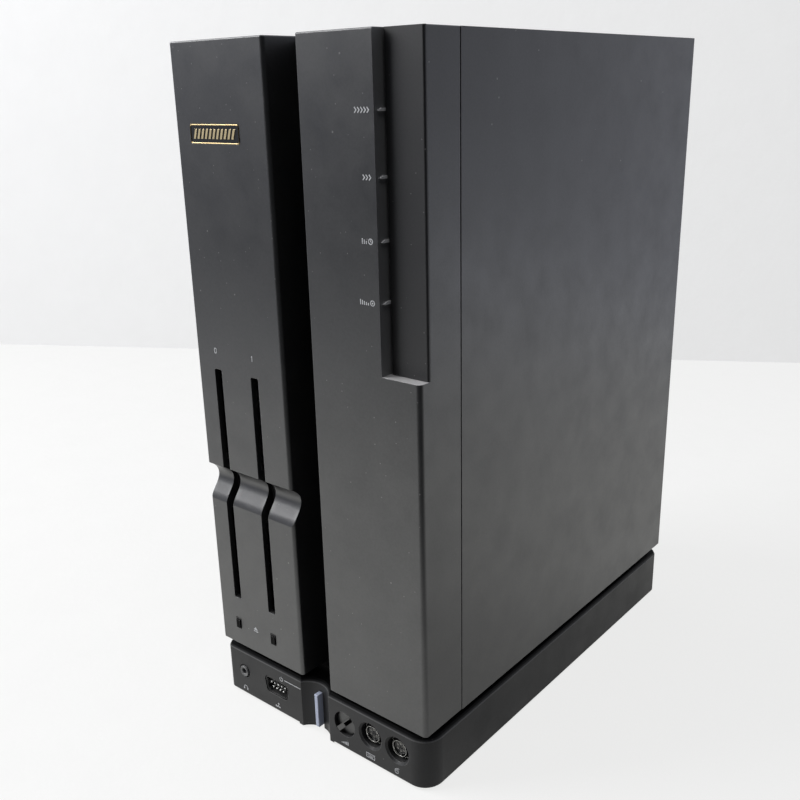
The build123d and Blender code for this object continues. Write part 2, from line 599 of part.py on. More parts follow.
def case_screws():
    screws = [screw(x, y, BASE_BOTTOM, (0, 0, 1)) for x, y in POST_SPOTS]
    for tower in (LEFT_TOWER, RIGHT_TOWER):
        screws += [screw(x, REAR, z, (0, -1, 0)) for x, z in panel_screw_spots(tower)]
    save("case_screws", *screws)


# ---------------------------------------------------------------- eject buttons and drives

def eject_button(name, x):
    """A bar that stands a little out of its hole, kept in by a flange behind the wall."""
    half, reach = EJECT_CAP[0] / 2, EJECT_CAP[1] / 2
    cap = block((x - half, x + half), (FRONT - PROUD, FRONT + 9), (EJECT_Z - reach, EJECT_Z + reach))
    front = edges_in_plane(cap, Axis.Y, FRONT - PROUD)
    upper = front.filter_by(lambda e: e.center().Z > EJECT_Z + reach - 0.01)
    cap = chamfer(upper, 0.7)
    cap = fillet(edges_in_plane(cap, Axis.Y, FRONT - PROUD).filter_by(Axis.Z), 0.25)
    back = FRONT + FRONT_WALL + CLEAR
    flange = block((x - 3.6, x + 3.6), (back, back + 1.2), (EJECT_Z - 6, EJECT_Z + 6))
    save(name, cap + flange)


def drive_chassis(name, sx):
    """Plate on the left of the disc channel, the channel's two rails, the guide rods and the legs."""
    left, right = sx - CHANNEL - CHASSIS, sx - CHANNEL
    low, high = SLOT_MID - DRIVE_HALF, SLOT_MID + DRIVE_HALF
    plate = block((left, right), (DRIVE_FRONT, DRIVE_REAR), (low, high))
    for z in ((low, SLOT_MID - RAIL_HALF), (SLOT_MID + RAIL_HALF, high)):
        plate += block((right, sx + CHANNEL), (DRIVE_FRONT, RAIL_REAR), z)
    for y in ((-60, -44), (40, 56)):
        plate += block((left, right), y, (FLOOR_TOP, SLOT_MID - DRIVE_HALF))
    plate += rod_x(6.0, (left - 1, left), HUB_Y, SLOT_MID)
    plate -= rod_x(HUB_RADIUS + 0.6, (right - 2.2, right + 1), HUB_Y, SLOT_MID)
    plate -= rod_x(3.0 + RUNNING, (left - 2, right), HUB_Y, SLOT_MID)
    window = (CARRIAGE_FRONT - CARRIAGE_TRAVEL - 5, CARRIAGE_REAR + 6)
    plate -= block((left - 1, right + 1), window, (SLOT_MID - 15, SLOT_MID + 15))
    for z in (SLOT_MID - GUIDE_Z, SLOT_MID + GUIDE_Z):
        plate += rod_y(GUIDE_RADIUS, sx - 4.6, (window[0] - 1, window[1] + 1), z)
    plate -= rod_x(PULLEY_RADIUS + 1, (left - 1, right + 1), PULLEY_Y, PULLEY_Z)
    save(name, plate)


def drive_clamp_plate(name, sx):
    """Plate on the right of the disc channel, with the bridge that guides the clamp hub's stem."""
    left, right = sx + CHANNEL, sx + CHANNEL + CLAMP_PLATE
    plate = block((left, right), (DRIVE_FRONT, CLAMP_REAR),
                  (SLOT_MID - DRIVE_HALF, SLOT_MID + DRIVE_HALF))
    plate -= rod_x(12.7, (left - 1, right + 1), HUB_Y, SLOT_MID)
    plate -= block((left - 1, right + 1), (CARRIAGE_FRONT - CARRIAGE_TRAVEL - 5, CARRIAGE_REAR + 3),
                   (SLOT_MID - 7.5, SLOT_MID + 7.5))
    bridge = block((right + 2, right + 4), (HUB_Y - 19, HUB_Y + 19), (SLOT_MID - 5, SLOT_MID + 5))
    for side in (-1, 1):
        ends = sorted((HUB_Y + side * 16, HUB_Y + side * 19))
        bridge += block((right, right + 2), ends, (SLOT_MID - 5, SLOT_MID + 5))
    bridge -= rod_x(2.0 + RUNNING, (right, right + 5), HUB_Y, SLOT_MID)
    save(name, plate + bridge)


def drive_clamp_hub(name, sx):
    face = sx + CHANNEL + 0.2
    hub = rod_x(12.3, (face, face + 4), HUB_Y, SLOT_MID)
    hub = chamfer(edges_in_plane(hub, Axis.X, face), 1.0)
    save(name, hub + rod_x(2.0, (face + 4, face + 10.5), HUB_Y, SLOT_MID))


def drive_spindle(name, sx):
    """Hub in the chassis pocket, shaft through the chassis, and the flat rotor outside it."""
    face = sx - CHANNEL - 0.2
    left = sx - CHANNEL - CHASSIS
    hub = rod_x(HUB_RADIUS, (face - 1.8, face), HUB_Y, SLOT_MID)
    hub = chamfer(edges_in_plane(hub, Axis.X, face), 0.6)
    shaft = rod_x(3.0, (left - 1.3, face - 1.8), HUB_Y, SLOT_MID)
    rotor = rod_x(ROTOR_RADIUS, (left - 5.0, left - 1.3), HUB_Y, SLOT_MID)
    rotor -= [Pos(left - 5.0, HUB_Y + 20 * cos(radians(60 * i)), SLOT_MID + 20 * sin(radians(60 * i)))
              * Rot(0, 90, 0) * Cylinder(3.5, 3.0) for i in range(6)]
    save(name, hub + shaft + rotor)


def drive_head_carriage(name, sx):
    """The arm pair that straddles a disc and rides on the chassis's two guide rods."""
    left, right = (sx - 6.2, sx - 3.0), (sx + 3.0, sx + 5.2)
    arm = (SLOT_MID - 6, SLOT_MID + 6)
    span = (CARRIAGE_FRONT, CARRIAGE_REAR)
    carriage = block(left, span, arm) + block(right, span, arm)
    carriage += block((left[0], right[1]), (CARRIAGE_REAR - 7, CARRIAGE_REAR), arm)
    carriage += block(left, (CARRIAGE_REAR - 20, CARRIAGE_REAR), (SLOT_MID - 13.5, SLOT_MID + 13.5))
    for z in (SLOT_MID - GUIDE_Z, SLOT_MID + GUIDE_Z):
        carriage -= rod_y(GUIDE_RADIUS + RUNNING, sx - 4.6, (CARRIAGE_REAR - 21, CARRIAGE_REAR + 1), z)
    save(name, carriage)


def drive_stepper(motor_name, pulley_name, sx):
    face = sx - CHANNEL
    motor = rod_x(17.0, (face, face + 14), PULLEY_Y, PULLEY_Z)
    motor = fillet(edges_in_plane(motor, Axis.X, face + 14), 1.0)
    motor -= rod_x(1.5 + RUNNING, (face - 1, face + 10), PULLEY_Y, PULLEY_Z)
    save(motor_name, motor)
    pulley = rod_x(PULLEY_RADIUS, (face - 3.6, face - 0.4), PULLEY_Y, PULLEY_Z)
    pulley -= rod_x(1.6, (face - 4, face), PULLEY_Y + 4.6, PULLEY_Z)
    pulley += rod_x(1.5, (face - 0.4, face + 9), PULLEY_Y, PULLEY_Z)
    save(pulley_name, pulley)


def drives():
    for number, sx in enumerate(SLOT_X):
        drive_chassis(f"drive_{number}_chassis", sx)
        drive_clamp_plate(f"drive_{number}_clamp_plate", sx)
        drive_clamp_hub(f"drive_{number}_clamp_hub", sx)
        drive_spindle(f"drive_{number}_spindle", sx)
        drive_head_carriage(f"drive_{number}_head_carriage", sx)
        drive_stepper(f"drive_{number}_stepper_motor", f"drive_{number}_stepper_pulley", sx)
        eject_button(f"eject_button_{number}", EJECT_X[number])


def hard_disk():
    x = (LEFT_TOWER[1] - WALL - 25.4, LEFT_TOWER[1] - WALL)
    body = block(x, (FRONT + 9, FRONT + 155), (222, 323.6))
    body = fillet(body.edges().filter_by(Axis.X), 3.0)
    lid = block((x[0] - 1, x[0]), (FRONT + 14, FRONT + 150), (226, 319.6))
    save("hard_disk", body + lid)


# ---------------------------------------------------------------- mains side

def power_supply():
    """A folded sheet case, open behind its louvres."""
    x = (LEFT_TOWER[1] - WALL - 60, LEFT_TOWER[1] - WALL)
    y, z = (FRONT + 157, REAR - 24.5), (214.0, 358.0)
    sheet = 1.2
    case = block(x, y, z) - block((x[0] + sheet, x[1] - sheet), (y[0] + sheet, y[1] - sheet),
                                  (z[0] + sheet, z[1] - sheet))
    for row in range(12):
        level = 226 + row * 11
        case -= block((x[0] + 12, x[1] - 12), (y[0] - 1, y[1] + 1), (level - 1.5, level + 1.5))
    save("power_supply", case)


def fan_frame():
    y = (REAR_INNER - FAN_DEPTH, REAR_INNER)
    half = FAN_SIDE / 2
    frame = block((FAN_X - half, FAN_X + half), y, (FAN_Z - half, FAN_Z + half))
    frame = fillet(frame.edges().filter_by(Axis.Y), 3.0)
    frame -= rod_y(FAN_BORE, FAN_X, (y[0] - 1, y[1] + 1), FAN_Z)
    hub = rod_y(13, FAN_X, (y[1] - 3, y[1]), FAN_Z)
    for i in range(4):
        arm = Rot(0, 45 + 90 * i, 0) * Pos(20.5, 0, 0) * Box(17, 3, 4)
        hub += Pos(FAN_X, y[1] - 1.5, FAN_Z) * arm
    hub -= rod_y(1.5 + RUNNING, FAN_X, (y[1] - 4, y[1] - 0.6), FAN_Z)
    save("fan_frame", frame + hub)


def fan_rotor():
    y = (REAR_INNER - FAN_DEPTH + 1, REAR_INNER - 3.5)
    rotor = rod_y(13, FAN_X, y, FAN_Z)
    blade_reach = FAN_BORE - 1.0
    for i in range(7):
        blade = Pos(blade_reach / 2 + 5.5, 0, 0) * Rot(38, 0, 0) * Box(blade_reach - 11, 1.6, 15)
        rotor += Pos(FAN_X, (y[0] + y[1]) / 2, FAN_Z) * Rot(0, 360 / 7 * i, 0) * blade
    rotor &= rod_y(blade_reach, FAN_X, y, FAN_Z)
    rotor += rod_y(1.5, FAN_X, (y[1], REAR_INNER - 0.8), FAN_Z)
    save("fan_rotor", rotor)


def inlet_outline(width, height, cut):
    """A rectangle with its two upper corners cut off."""
    w, h = width / 2, height / 2
    return make_face(Polyline((-w, -h), (w, -h), (w, h - cut), (w - cut, h),
                              (-w + cut, h), (-w, h - cut), close=True))


def ac_inlet():
    flange = block((INLET_X - 15, INLET_X + 15), (REAR, REAR + PROUD), (INLET_Z - 11.5, INLET_Z + 11.5))
    body = block((INLET_X - 13.5, INLET_X + 13.5), (REAR - 20, REAR), (INLET_Z - 10, INLET_Z + 10))
    hollow = Plane.XZ.location * inlet_outline(24.6, 16.4, 4.0)
    hollow = Pos(INLET_X, REAR + 1, INLET_Z) * extrude(hollow, 17.5)
    inlet = flange + body - hollow
    floor = REAR - 16.5
    for x, z in ((-7, -2), (7, -2), (0, 2)):
        blade = block((INLET_X + x - 1, INLET_X + x + 1), (floor, REAR - 2),
                      (INLET_Z + z - 2, INLET_Z + z + 2))
        inlet += chamfer(edges_in_plane(blade, Axis.Y, REAR - 2), 0.4)
    save("ac_inlet", inlet)


def main_switch():
    flange = block((SWITCH_X - 12, SWITCH_X + 12), (REAR, REAR + 0.5), (SWITCH_Z - 8.5, SWITCH_Z + 8.5))
    body = block((SWITCH_X - 10.5, SWITCH_X + 10.5), (REAR - 16, REAR), (SWITCH_Z - 7, SWITCH_Z + 7))
    room = block((SWITCH_X - 9, SWITCH_X + 9), (REAR - 9, REAR + 2), (SWITCH_Z - 5.5, SWITCH_Z + 5.5))
    pin = rod_z(1.2, SWITCH_X, REAR - 4, (SWITCH_Z - 5.5, SWITCH_Z + 5.5))
    save("main_switch_frame", flange + body - room + pin)
    face = REAR + 0.1
    outline = Polyline((-8.0, -3.2), (8.0, -3.2), (8.0, 3.4), (0, 4.1), (-8.0, 3.4), close=True)
    rocker = Pos(SWITCH_X, REAR - 4, SWITCH_Z - 5) * extrude(make_face(outline), 10)
    swing_room = rod_z(8.3, SWITCH_X, REAR - 4, (SWITCH_Z - 5, SWITCH_Z + 5))
    rocker &= swing_room
    rocker -= rod_z(1.2 + RUNNING, SWITCH_X, REAR - 4, (SWITCH_Z - 6, SWITCH_Z + 6))
    rest = Pos(SWITCH_X, REAR - 4, 0) * Rot(0, 0, ROCKER_SWING / 2) * Pos(-SWITCH_X, 4 - REAR, 0)
    save("main_switch_rocker", rest * rocker)


# ---------------------------------------------------------------- boards and rear sockets

def rear_connectors():
    sockets = []
    for z, length, top_row in REAR_D_SOCKETS:
        shell_length = length - 13
        reach = length / 2 - 0.2
        base = block((SOCKET_X - 6.3, SOCKET_X + 6.3), (REAR - 14.5, REAR - 6), (z - reach, z + reach))
        nose = d_solid(0, 0, shell_length, 8.3, 2.6, (REAR - 6, REAR + PROUD))
        nose = Pos(SOCKET_X, 0, z) * Rot(0, 90, 0) * nose
        for row, x in ((top_row, PIN_ROW), (top_row - 1, -PIN_ROW)):
            for i in range(row):
                level = z + (i - (row - 1) / 2) * PIN_PITCH
                nose -= rod_y(0.6, SOCKET_X + x, (REAR - 3, REAR + 1), level)
        sockets.append(base + nose)
    for z in REAR_JACKS:
        jack = block((SOCKET_X - 6, SOCKET_X + 6), (REAR - 16, REAR_INNER), (z - 6, z + 6))
        jack += rod_y(4.4, SOCKET_X, (REAR_INNER, REAR + PROUD), z)
        sockets.append(jack - rod_y(JACK_HOLE, SOCKET_X, (REAR - 12, REAR + 1), z))
    for z in SQUARE_SOCKETS:
        x = (SQUARE_SOCKET_X - 6.8, SQUARE_SOCKET_X + 6.8)
        socket = block(x, (REAR - 12, REAR + 0.3), (z - 11.8, z + 11.8))
        socket -= block((x[0] + 2, x[1] - 2), (REAR - 3.5, REAR + 1), (z - 9.8, z + 9.8))
        socket += block((x[0] + 5.4, x[1] - 5.4), (REAR - 3.5, REAR - 0.5), (z - 8.8, z + 8.8))
        sockets.append(socket)
    save("rear_connectors", *sockets)


def main_board():
    """The upright board on the inner side of the right tower, with its chips and a socket board."""
    x = (MAIN_BOARD_X, MAIN_BOARD_X + BOARD)
    board = block(x, (-98, REAR - 14.5), (FLOOR_TOP, 352))
    for y, z, length, height in CHIPS:
        board += block((x[1], x[1] + 3.4), (y - length / 2, y + length / 2),
                       (z - height / 2, z + height / 2))
    board += block((x[1], 72), (REAR - 60, REAR - 14.5), (52, 53.6))
    for cover_x in SLOT_COVERS:
        board += block((x[1], cover_x + 4), (60, 110), (206, 207.6))
        board += block((cover_x - 4, cover_x + 4), (62, 108), (207.6, 217))
    save("main_board", board)


# ---------------------------------------------------------------- middle

def centre_spine():
    """The column between the towers; the handle's well is in its top."""
    x = (-GAP_SIDE, GAP_SIDE)
    column = block(x, (SPINE_FRONT, SPINE_REAR), (TOWER_BOTTOM, SPINE_TOP))
    column -= block((-8.3, 8.3), (-WELL_HALF, WELL_HALF), (WELL_FLOOR, SPINE_TOP + 1))
    leg_block = 10.0
    bays = ((SPINE_FRONT + WALL, -LEG_Y - leg_block), (-LEG_Y + leg_block, LEG_Y - leg_block),
            (LEG_Y + leg_block, SPINE_REAR - WALL))
    for bay in bays:
        column -= block((-GAP_SIDE + WALL, GAP_SIDE - WALL), bay,
                        (TOWER_BOTTOM + WALL, WELL_FLOOR - WALL))
    for side in (-1, 1):
        pocket = sorted((side * (LEG_Y - 5.3), side * (LEG_Y + 5.3)))
        column -= block((-4.3, 4.3), pocket, (288, WELL_FLOOR + 1))
    save("centre_spine", column)


def handle():
    """A grip bar with undercut ends on two legs that slide in the spine."""
    top = SPINE_TOP - 0.3
    low = WELL_FLOOR + CLEAR
    grip = block((-8, 8), (-GRIP_HALF, GRIP_HALF), (low, top))
    grip = fillet(grip.edges().filter_by(Axis.Z), 3.0)
    grip = fillet(edges_in_plane(grip, Axis.Z, top), 1.5)
    for side in (-1, 1):
        undercut = sorted((side * (LEG_Y + 7), side * (GRIP_HALF + 1)))
        grip -= block((-9, 9), undercut, (low - 1, low + 7))
        leg = sorted((side * (LEG_Y - 5), side * (LEG_Y + 5)))
        grip += block((-4, 4), leg, (290, low))
    save("handle", grip)


def base():
    base_housing()
    base_bottom_plate()
    rubber_feet()
    jack_board()
    phones_jack()
    joystick_socket()
    round_socket("keyboard_socket", KEYBOARD_X)
    round_socket("mouse_socket", MOUSE_X)
    power_button()
    power_switch_unit()
    volume_knob()
    volume_control()
    speaker()
    tower_frame()


def left_tower():
    left_front_bezel()
    badge_plate()
    side_panel("left_outer_panel", (-SIDE, -SIDE + WALL), -SIDE)
    side_panel("left_inner_panel", (-GAP_SIDE - WALL, -GAP_SIDE), -GAP_SIDE)
    top_cover("left_top_cover", LEFT_TOWER, buttons=False)
    left_rear_panel()
    drives()
    hard_disk()
    power_supply()
    fan_frame()
    fan_rotor()
    ac_inlet()
    main_switch()


def right_tower():
    right_front_bezel()
    indicator_strip()
    indicator_lenses()
    side_panel("right_outer_panel", (SIDE - WALL, SIDE), SIDE)
    side_panel("right_inner_panel", (GAP_SIDE, GAP_SIDE + WALL), GAP_SIDE)
    top_cover("right_top_cover", RIGHT_TOWER, buttons=True)
    top_button("reset_button", TOP_BUTTON_Y[0])
    top_button("interrupt_button", TOP_BUTTON_Y[1])
    right_rear_panel()
    slot_covers()
    rear_connectors()
    main_board()


base()
left_tower()
right_tower()
centre_spine()
handle()
case_screws()
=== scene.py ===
from math import cos, pi, radians, sin

import bmesh
import bpy
from mathutils import Matrix, Vector


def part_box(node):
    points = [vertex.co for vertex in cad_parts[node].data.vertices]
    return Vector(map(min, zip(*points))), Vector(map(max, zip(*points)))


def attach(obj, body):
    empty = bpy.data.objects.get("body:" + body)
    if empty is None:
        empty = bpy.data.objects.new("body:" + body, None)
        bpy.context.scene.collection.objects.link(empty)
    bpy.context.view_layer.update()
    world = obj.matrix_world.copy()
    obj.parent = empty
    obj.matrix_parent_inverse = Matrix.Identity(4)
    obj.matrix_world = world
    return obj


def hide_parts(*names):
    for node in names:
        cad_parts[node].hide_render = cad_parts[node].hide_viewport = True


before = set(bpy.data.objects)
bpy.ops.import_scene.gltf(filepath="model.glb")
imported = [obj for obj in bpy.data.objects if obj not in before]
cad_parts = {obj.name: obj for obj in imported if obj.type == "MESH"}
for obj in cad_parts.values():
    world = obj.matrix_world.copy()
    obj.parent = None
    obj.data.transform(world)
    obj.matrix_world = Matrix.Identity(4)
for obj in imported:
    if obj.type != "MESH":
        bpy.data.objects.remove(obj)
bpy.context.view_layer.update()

# Twin-tower home computer: the looks. Dimensions below are in millimetres and turned into metres
# by MM where a mesh is made. X runs across the front, Y to the back, Z up.
MM = 0.001


def box_mm(node):
    low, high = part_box(node)
    return low / MM, high / MM


# ---- planes and places, read from the frame ----
HOUSING_LOW, HOUSING_HIGH = box_mm("base_housing")
BASE_FRONT = HOUSING_LOW.y
FRONT = box_mm("left_front_bezel")[0].y
REAR = box_mm("left_rear_panel")[1].y
LEDGE = box_mm("indicator_strip")[0].z            # floor of the corner recess
RECESS_X = box_mm("indicator_lenses")[0].x        # and its wall
RIM_HEIGHT = 2.4                                  # of the steep rim round the base's top
SHOULDER = HOUSING_HIGH.z - RIM_HEIGHT            # the line under that rim
LENS_Z = (335.4, 308.1, 281.1, 254.0)             # heights of the four indicator lenses


# ---------------------------------------------------------------- materials

def shader_tree(name):
    material = bpy.data.materials.new(name)
    material.use_nodes = True
    tree = material.node_tree
    return material, tree, tree.nodes["Principled BSDF"]


def add_node(tree, kind, inputs=(), **settings):
    """Adds a node, sets its properties, and fills its inputs with values or links."""
    node = tree.nodes.new(kind)
    for key, value in settings.items():
        setattr(node, key, value)
    for key, value in dict(inputs).items():
        if isinstance(value, bpy.types.NodeSocket):
            tree.links.new(value, node.inputs[key])
        else:
            node.inputs[key].default_value = value
    return node


def object_coords(tree):
    return add_node(tree, "ShaderNodeTexCoord").outputs["Object"]


def noise(tree, size, detail=2.0, rough=0.5, stretch=None):
    """Noise whose features are about size millimetres across; stretch scales the three axes."""
    vector = object_coords(tree)
    if stretch:
        vector = add_node(tree, "ShaderNodeMapping", {"Vector": vector, "Scale": stretch}).outputs[0]
    inputs = {"Vector": vector, "Scale": 1.0 / (size * MM), "Detail": detail, "Roughness": rough}
    return add_node(tree, "ShaderNodeTexNoise", inputs).outputs["Fac"]


def remap(tree, value, low, high, to_low=0.0, to_high=1.0):
    inputs = {"Value": value, "From Min": low, "From Max": high, "To Min": to_low, "To Max": to_high}
    return add_node(tree, "ShaderNodeMapRange", inputs).outputs["Result"]


def maths(tree, operation, a, b):
    return add_node(tree, "ShaderNodeMath", {0: a, 1: b}, operation=operation).outputs[0]


def mix_colour(tree, factor, a, b):
    node = tree.nodes.new("ShaderNodeMix")
    node.data_type = "RGBA"
    sockets = {s.identifier: s for s in node.inputs}
    for key, value in (("Factor_Float", factor), ("A_Color", a), ("B_Color", b)):
        if isinstance(value, bpy.types.NodeSocket):
            tree.links.new(value, sockets[key])
        else:
            sockets[key].default_value = value
    return {s.identifier: s for s in node.outputs}["Result_Color"]


def shade(colour, factor):
    return tuple(min(1.0, c * factor) for c in colour[:3]) + (1.0,)


def grey(value, tint=(1.0, 1.0, 1.0)):
    return tuple(value * t for t in tint) + (1.0,)


def coordinate(tree, axis):
    return add_node(tree, "ShaderNodeSeparateXYZ", {"Vector": object_coords(tree)}).outputs[axis]


def dust_specks(tree, cell, radius, share):
    """Small round specks: one in each cell of a grid of scattered points, kept for a share of them,
    and for fewer low down."""
    inputs = {"Vector": object_coords(tree), "Scale": 1.0 / (cell * MM), "Randomness": 1.0}
    cells = add_node(tree, "ShaderNodeTexVoronoi", inputs, feature="F1")
    near = maths(tree, "LESS_THAN", cells.outputs["Distance"], radius / cell)
    pick = add_node(tree, "ShaderNodeSeparateColor", {"Color": cells.outputs["Color"]}).outputs[0]
    share_here = remap(tree, coordinate(tree, "Z"), 40 * MM, 330 * MM, 0.35 * share, share)
    return maths(tree, "MULTIPLY", near, maths(tree, "LESS_THAN", pick, share_here))


def edge_mask(tree, radius):
    """Near 1 on sharp edges: where a rounded normal leaves the face's own."""
    soft = add_node(tree, "ShaderNodeBevel", {"Radius": radius * MM}, samples=4).outputs["Normal"]
    face = add_node(tree, "ShaderNodeNewGeometry").outputs["Normal"]
    dot = add_node(tree, "ShaderNodeVectorMath", {0: soft, 1: face}, operation="DOT_PRODUCT")
    return remap(tree, dot.outputs["Value"], 0.995, 0.93)


def soft_edges(tree, radius):
    """Normals rounded over the sharp edges, so that they catch the light as moulded edges do."""
    return add_node(tree, "ShaderNodeBevel", {"Radius": radius * MM}, samples=4).outputs["Normal"]


def bump(tree, height, depth, strength=1.0, normal=None):
    inputs = {"Height": height, "Distance": depth * MM, "Strength": strength}
    if normal:
        inputs["Normal"] = normal
    return add_node(tree, "ShaderNodeBump", inputs).outputs["Normal"]


def along_axis(tree, direction):
    """How far along a direction a place lies from the origin."""
    return add_node(tree, "ShaderNodeVectorMath", {0: object_coords(tree), 1: direction},
                    operation="DOT_PRODUCT").outputs["Value"]


def facing(tree, axis):
    """1 on surfaces that face along an axis: up, for Z."""
    normal = add_node(tree, "ShaderNodeNewGeometry").outputs["Normal"]
    part = add_node(tree, "ShaderNodeSeparateXYZ", {"Vector": normal}).outputs[axis]
    return remap(tree, part, 0.9, 0.99)


def between(tree, value, low, high):
    return maths(tree, "MULTIPLY", maths(tree, "GREATER_THAN", value, low),
                 maths(tree, "LESS_THAN", value, high))


# Pale edges, paled by use and also a painted highlight along every sharp edge.
WORN_EDGE_AND_HIGHLIGHT = grey(0.30, (1.0, 0.99, 0.98))
SPECK = grey(0.32, (1, 0.98, 0.94))
# Dust on upward faces. Where it is turned up, it also serves as a painted highlight on tops.
DUST_FILM_AND_HIGHLIGHT = grey(0.22, (1, 0.98, 0.95))
# Pale dust on the recess's ledge that is also a painted highlight, and pale grey on the recess's wall as
# painted light.
LEDGE_DUST_AND_HIGHLIGHT = grey(0.60, (1, 0.98, 0.97))
RECESS_WALL_PAINTED_LIGHT = grey(0.20)
RECESS_BAND = 0.2                # how close to the recess's wall or ledge counts as on it
# Painted highlight and painted shade on the base: a pale line along its shoulder stands in for the
# shoulder's highlight, and the rim over it is painted darker and duller as shade.
SHOULDER_PAINTED_HIGHLIGHT = grey(0.14)
SHOULDER_HIGHLIGHT_SHARE = 0.8
SHOULDER_HIGHLIGHT_BAND = (-0.55, 0.3)       # heights over the shoulder
RIM_PAINTED_SHADE_FADE = (0.3, 1.5)            # likewise
RIM_SHADE_TONE, RIM_SHADE_GLOSS = 0.2, 0.15    # shares that are left above the fade


def moulded(name, colour, rough, specular=0.5, ior=1.5, grain=0.3, depth=0.006, wear_and_highlight=0.0, dust=0.0,
            mottle=0.12, soft=0.3, recess=None, top_dust_and_highlight=0.20, shoulder=None):
    """Moulded plastic: mottled colour, spark-eroded grain, patchy gloss, edges paled by use, and dust.
    The pale edges are also a painted highlight. recess is the X of a corner recess's wall and the height
    of its ledge: the wall gets painted light, and the ledge gets pale dust that is also a painted
    highlight.
    top_dust_and_highlight is how much dust lies on other upward faces; turned up, it is also a painted
    highlight. shoulder is the height of a painted highlight line, above which the plastic is painted
    duller and darker as shade."""
    material, tree, bsdf = shader_tree(name)
    patches = remap(tree, noise(tree, 45, 4.0, 0.6), 0.3, 0.7)
    flecks = remap(tree, noise(tree, 1.1, 3.0, 0.7), 0.3, 0.7)
    base = mix_colour(tree, patches, shade(colour, 1 - mottle), shade(colour, 1 + mottle))
    base = mix_colour(tree, maths(tree, "MULTIPLY", flecks, 0.5), base, shade(colour, 1 + mottle))
    # Edges painted paler: partly from use, and partly a painted highlight for the light they catch.
    if wear_and_highlight:
        ragged = remap(tree, noise(tree, 3.5, 4.0, 0.7), 0.35, 0.60, 0.35, 1.0)
        worn_and_highlit = maths(tree, "MULTIPLY", maths(tree, "MULTIPLY", edge_mask(tree, 0.5), ragged), wear_and_highlight)
        base = mix_colour(tree, worn_and_highlit, base, WORN_EDGE_AND_HIGHLIGHT)
    if dust:
        fine = maths(tree, "MULTIPLY", dust_specks(tree, 3.2, 0.28, 0.32), dust)
        large = maths(tree, "MULTIPLY", dust_specks(tree, 9.0, 0.45, 0.45), dust)
        base = mix_colour(tree, maths(tree, "MAXIMUM", fine, large), base, SPECK)
    # Pale dust on upward faces. Where it is turned up, as on the eject buttons, it is also a painted
    # highlight on their tops.
    if top_dust_and_highlight:
        cover = remap(tree, noise(tree, 14, 5.0, 0.7), 0.35, 0.75, top_dust_and_highlight / 4, top_dust_and_highlight)
        settled_and_highlit = maths(tree, "MULTIPLY", facing(tree, "Z"), cover)
        base = mix_colour(tree, settled_and_highlit, base, DUST_FILM_AND_HIGHLIGHT)
    # Painted light in the corner recess: pale dust on its ledge that is also a painted highlight, and pale
    # grey on its wall, which lies in shade.
    if recess:
        wall_x, ledge = recess
        level = between(tree, coordinate(tree, "Z"), (ledge - RECESS_BAND) * MM, (ledge + RECESS_BAND) * MM)
        cover = maths(tree, "MULTIPLY", maths(tree, "MULTIPLY", level, facing(tree, "Z")),
                      remap(tree, noise(tree, 1.4, 4.0, 0.6), 0.3, 0.7, 0.75, 1.0))
        base = mix_colour(tree, cover, base, LEDGE_DUST_AND_HIGHLIGHT)
        wall = between(tree, coordinate(tree, "X"), (wall_x - RECESS_BAND) * MM,
                       (wall_x + RECESS_BAND) * MM)
        base = mix_colour(tree, maths(tree, "MULTIPLY", wall, facing(tree, "X")), base, RECESS_WALL_PAINTED_LIGHT)
    shine = remap(tree, flecks, 0, 1, specular * 0.93, specular * 1.07)
    # Painted highlight: a pale line along the shoulder. Painted shade: darker colour and weaker gloss on
    # the rim over it.
    if shoulder:
        height = coordinate(tree, "Z")
        low, high = ((shoulder + level) * MM for level in SHOULDER_HIGHLIGHT_BAND)
        painted_highlight = maths(tree, "MULTIPLY", SHOULDER_HIGHLIGHT_SHARE, between(tree, height, low, high))
        base = mix_colour(tree, painted_highlight, base, SHOULDER_PAINTED_HIGHLIGHT)
        low, high = ((shoulder + level) * MM for level in RIM_PAINTED_SHADE_FADE)
        above = remap(tree, height, low, high)
        base = mix_colour(tree, above, base, shade(colour, RIM_SHADE_TONE))
        shine = maths(tree, "MULTIPLY", shine, remap(tree, above, 0, 1, 1.0, RIM_SHADE_GLOSS))
    tree.links.new(base, bsdf.inputs["Base Color"])
    gloss = remap(tree, noise(tree, 18, 5.0, 0.65), 0.3, 0.7, rough - 0.05, rough + 0.06)
    tree.links.new(gloss, bsdf.inputs["Roughness"])
    rounded = soft_edges(tree, soft)
    tree.links.new(bump(tree, noise(tree, grain, 2.0, 0.6), depth, normal=rounded), bsdf.inputs["Normal"])
    bsdf.inputs["IOR"].default_value = ior
    tree.links.new(shine, bsdf.inputs["Specular IOR Level"])
    return material


def metal(name, colour, rough, grain=0.8, depth=0.004, stretch=None, tarnish=0.25):
    """Plated, rolled or cast metal: brushed or grainy, with duller patches."""
    material, tree, bsdf = shader_tree(name)
    patches = remap(tree, noise(tree, 9, 5.0, 0.65), 0.35, 0.7)
    base = mix_colour(tree, patches, shade(colour, 1.0), shade(colour, 1 - tarnish))
    tree.links.new(base, bsdf.inputs["Base Color"])
    gloss = remap(tree, noise(tree, 4, 4.0, 0.6), 0.3, 0.7, rough - 0.06, rough + 0.10)
    tree.links.new(gloss, bsdf.inputs["Roughness"])
    tree.links.new(bump(tree, noise(tree, grain, 3.0, 0.6, stretch), depth), bsdf.inputs["Normal"])
    bsdf.inputs["Metallic"].default_value = 1.0
    return material


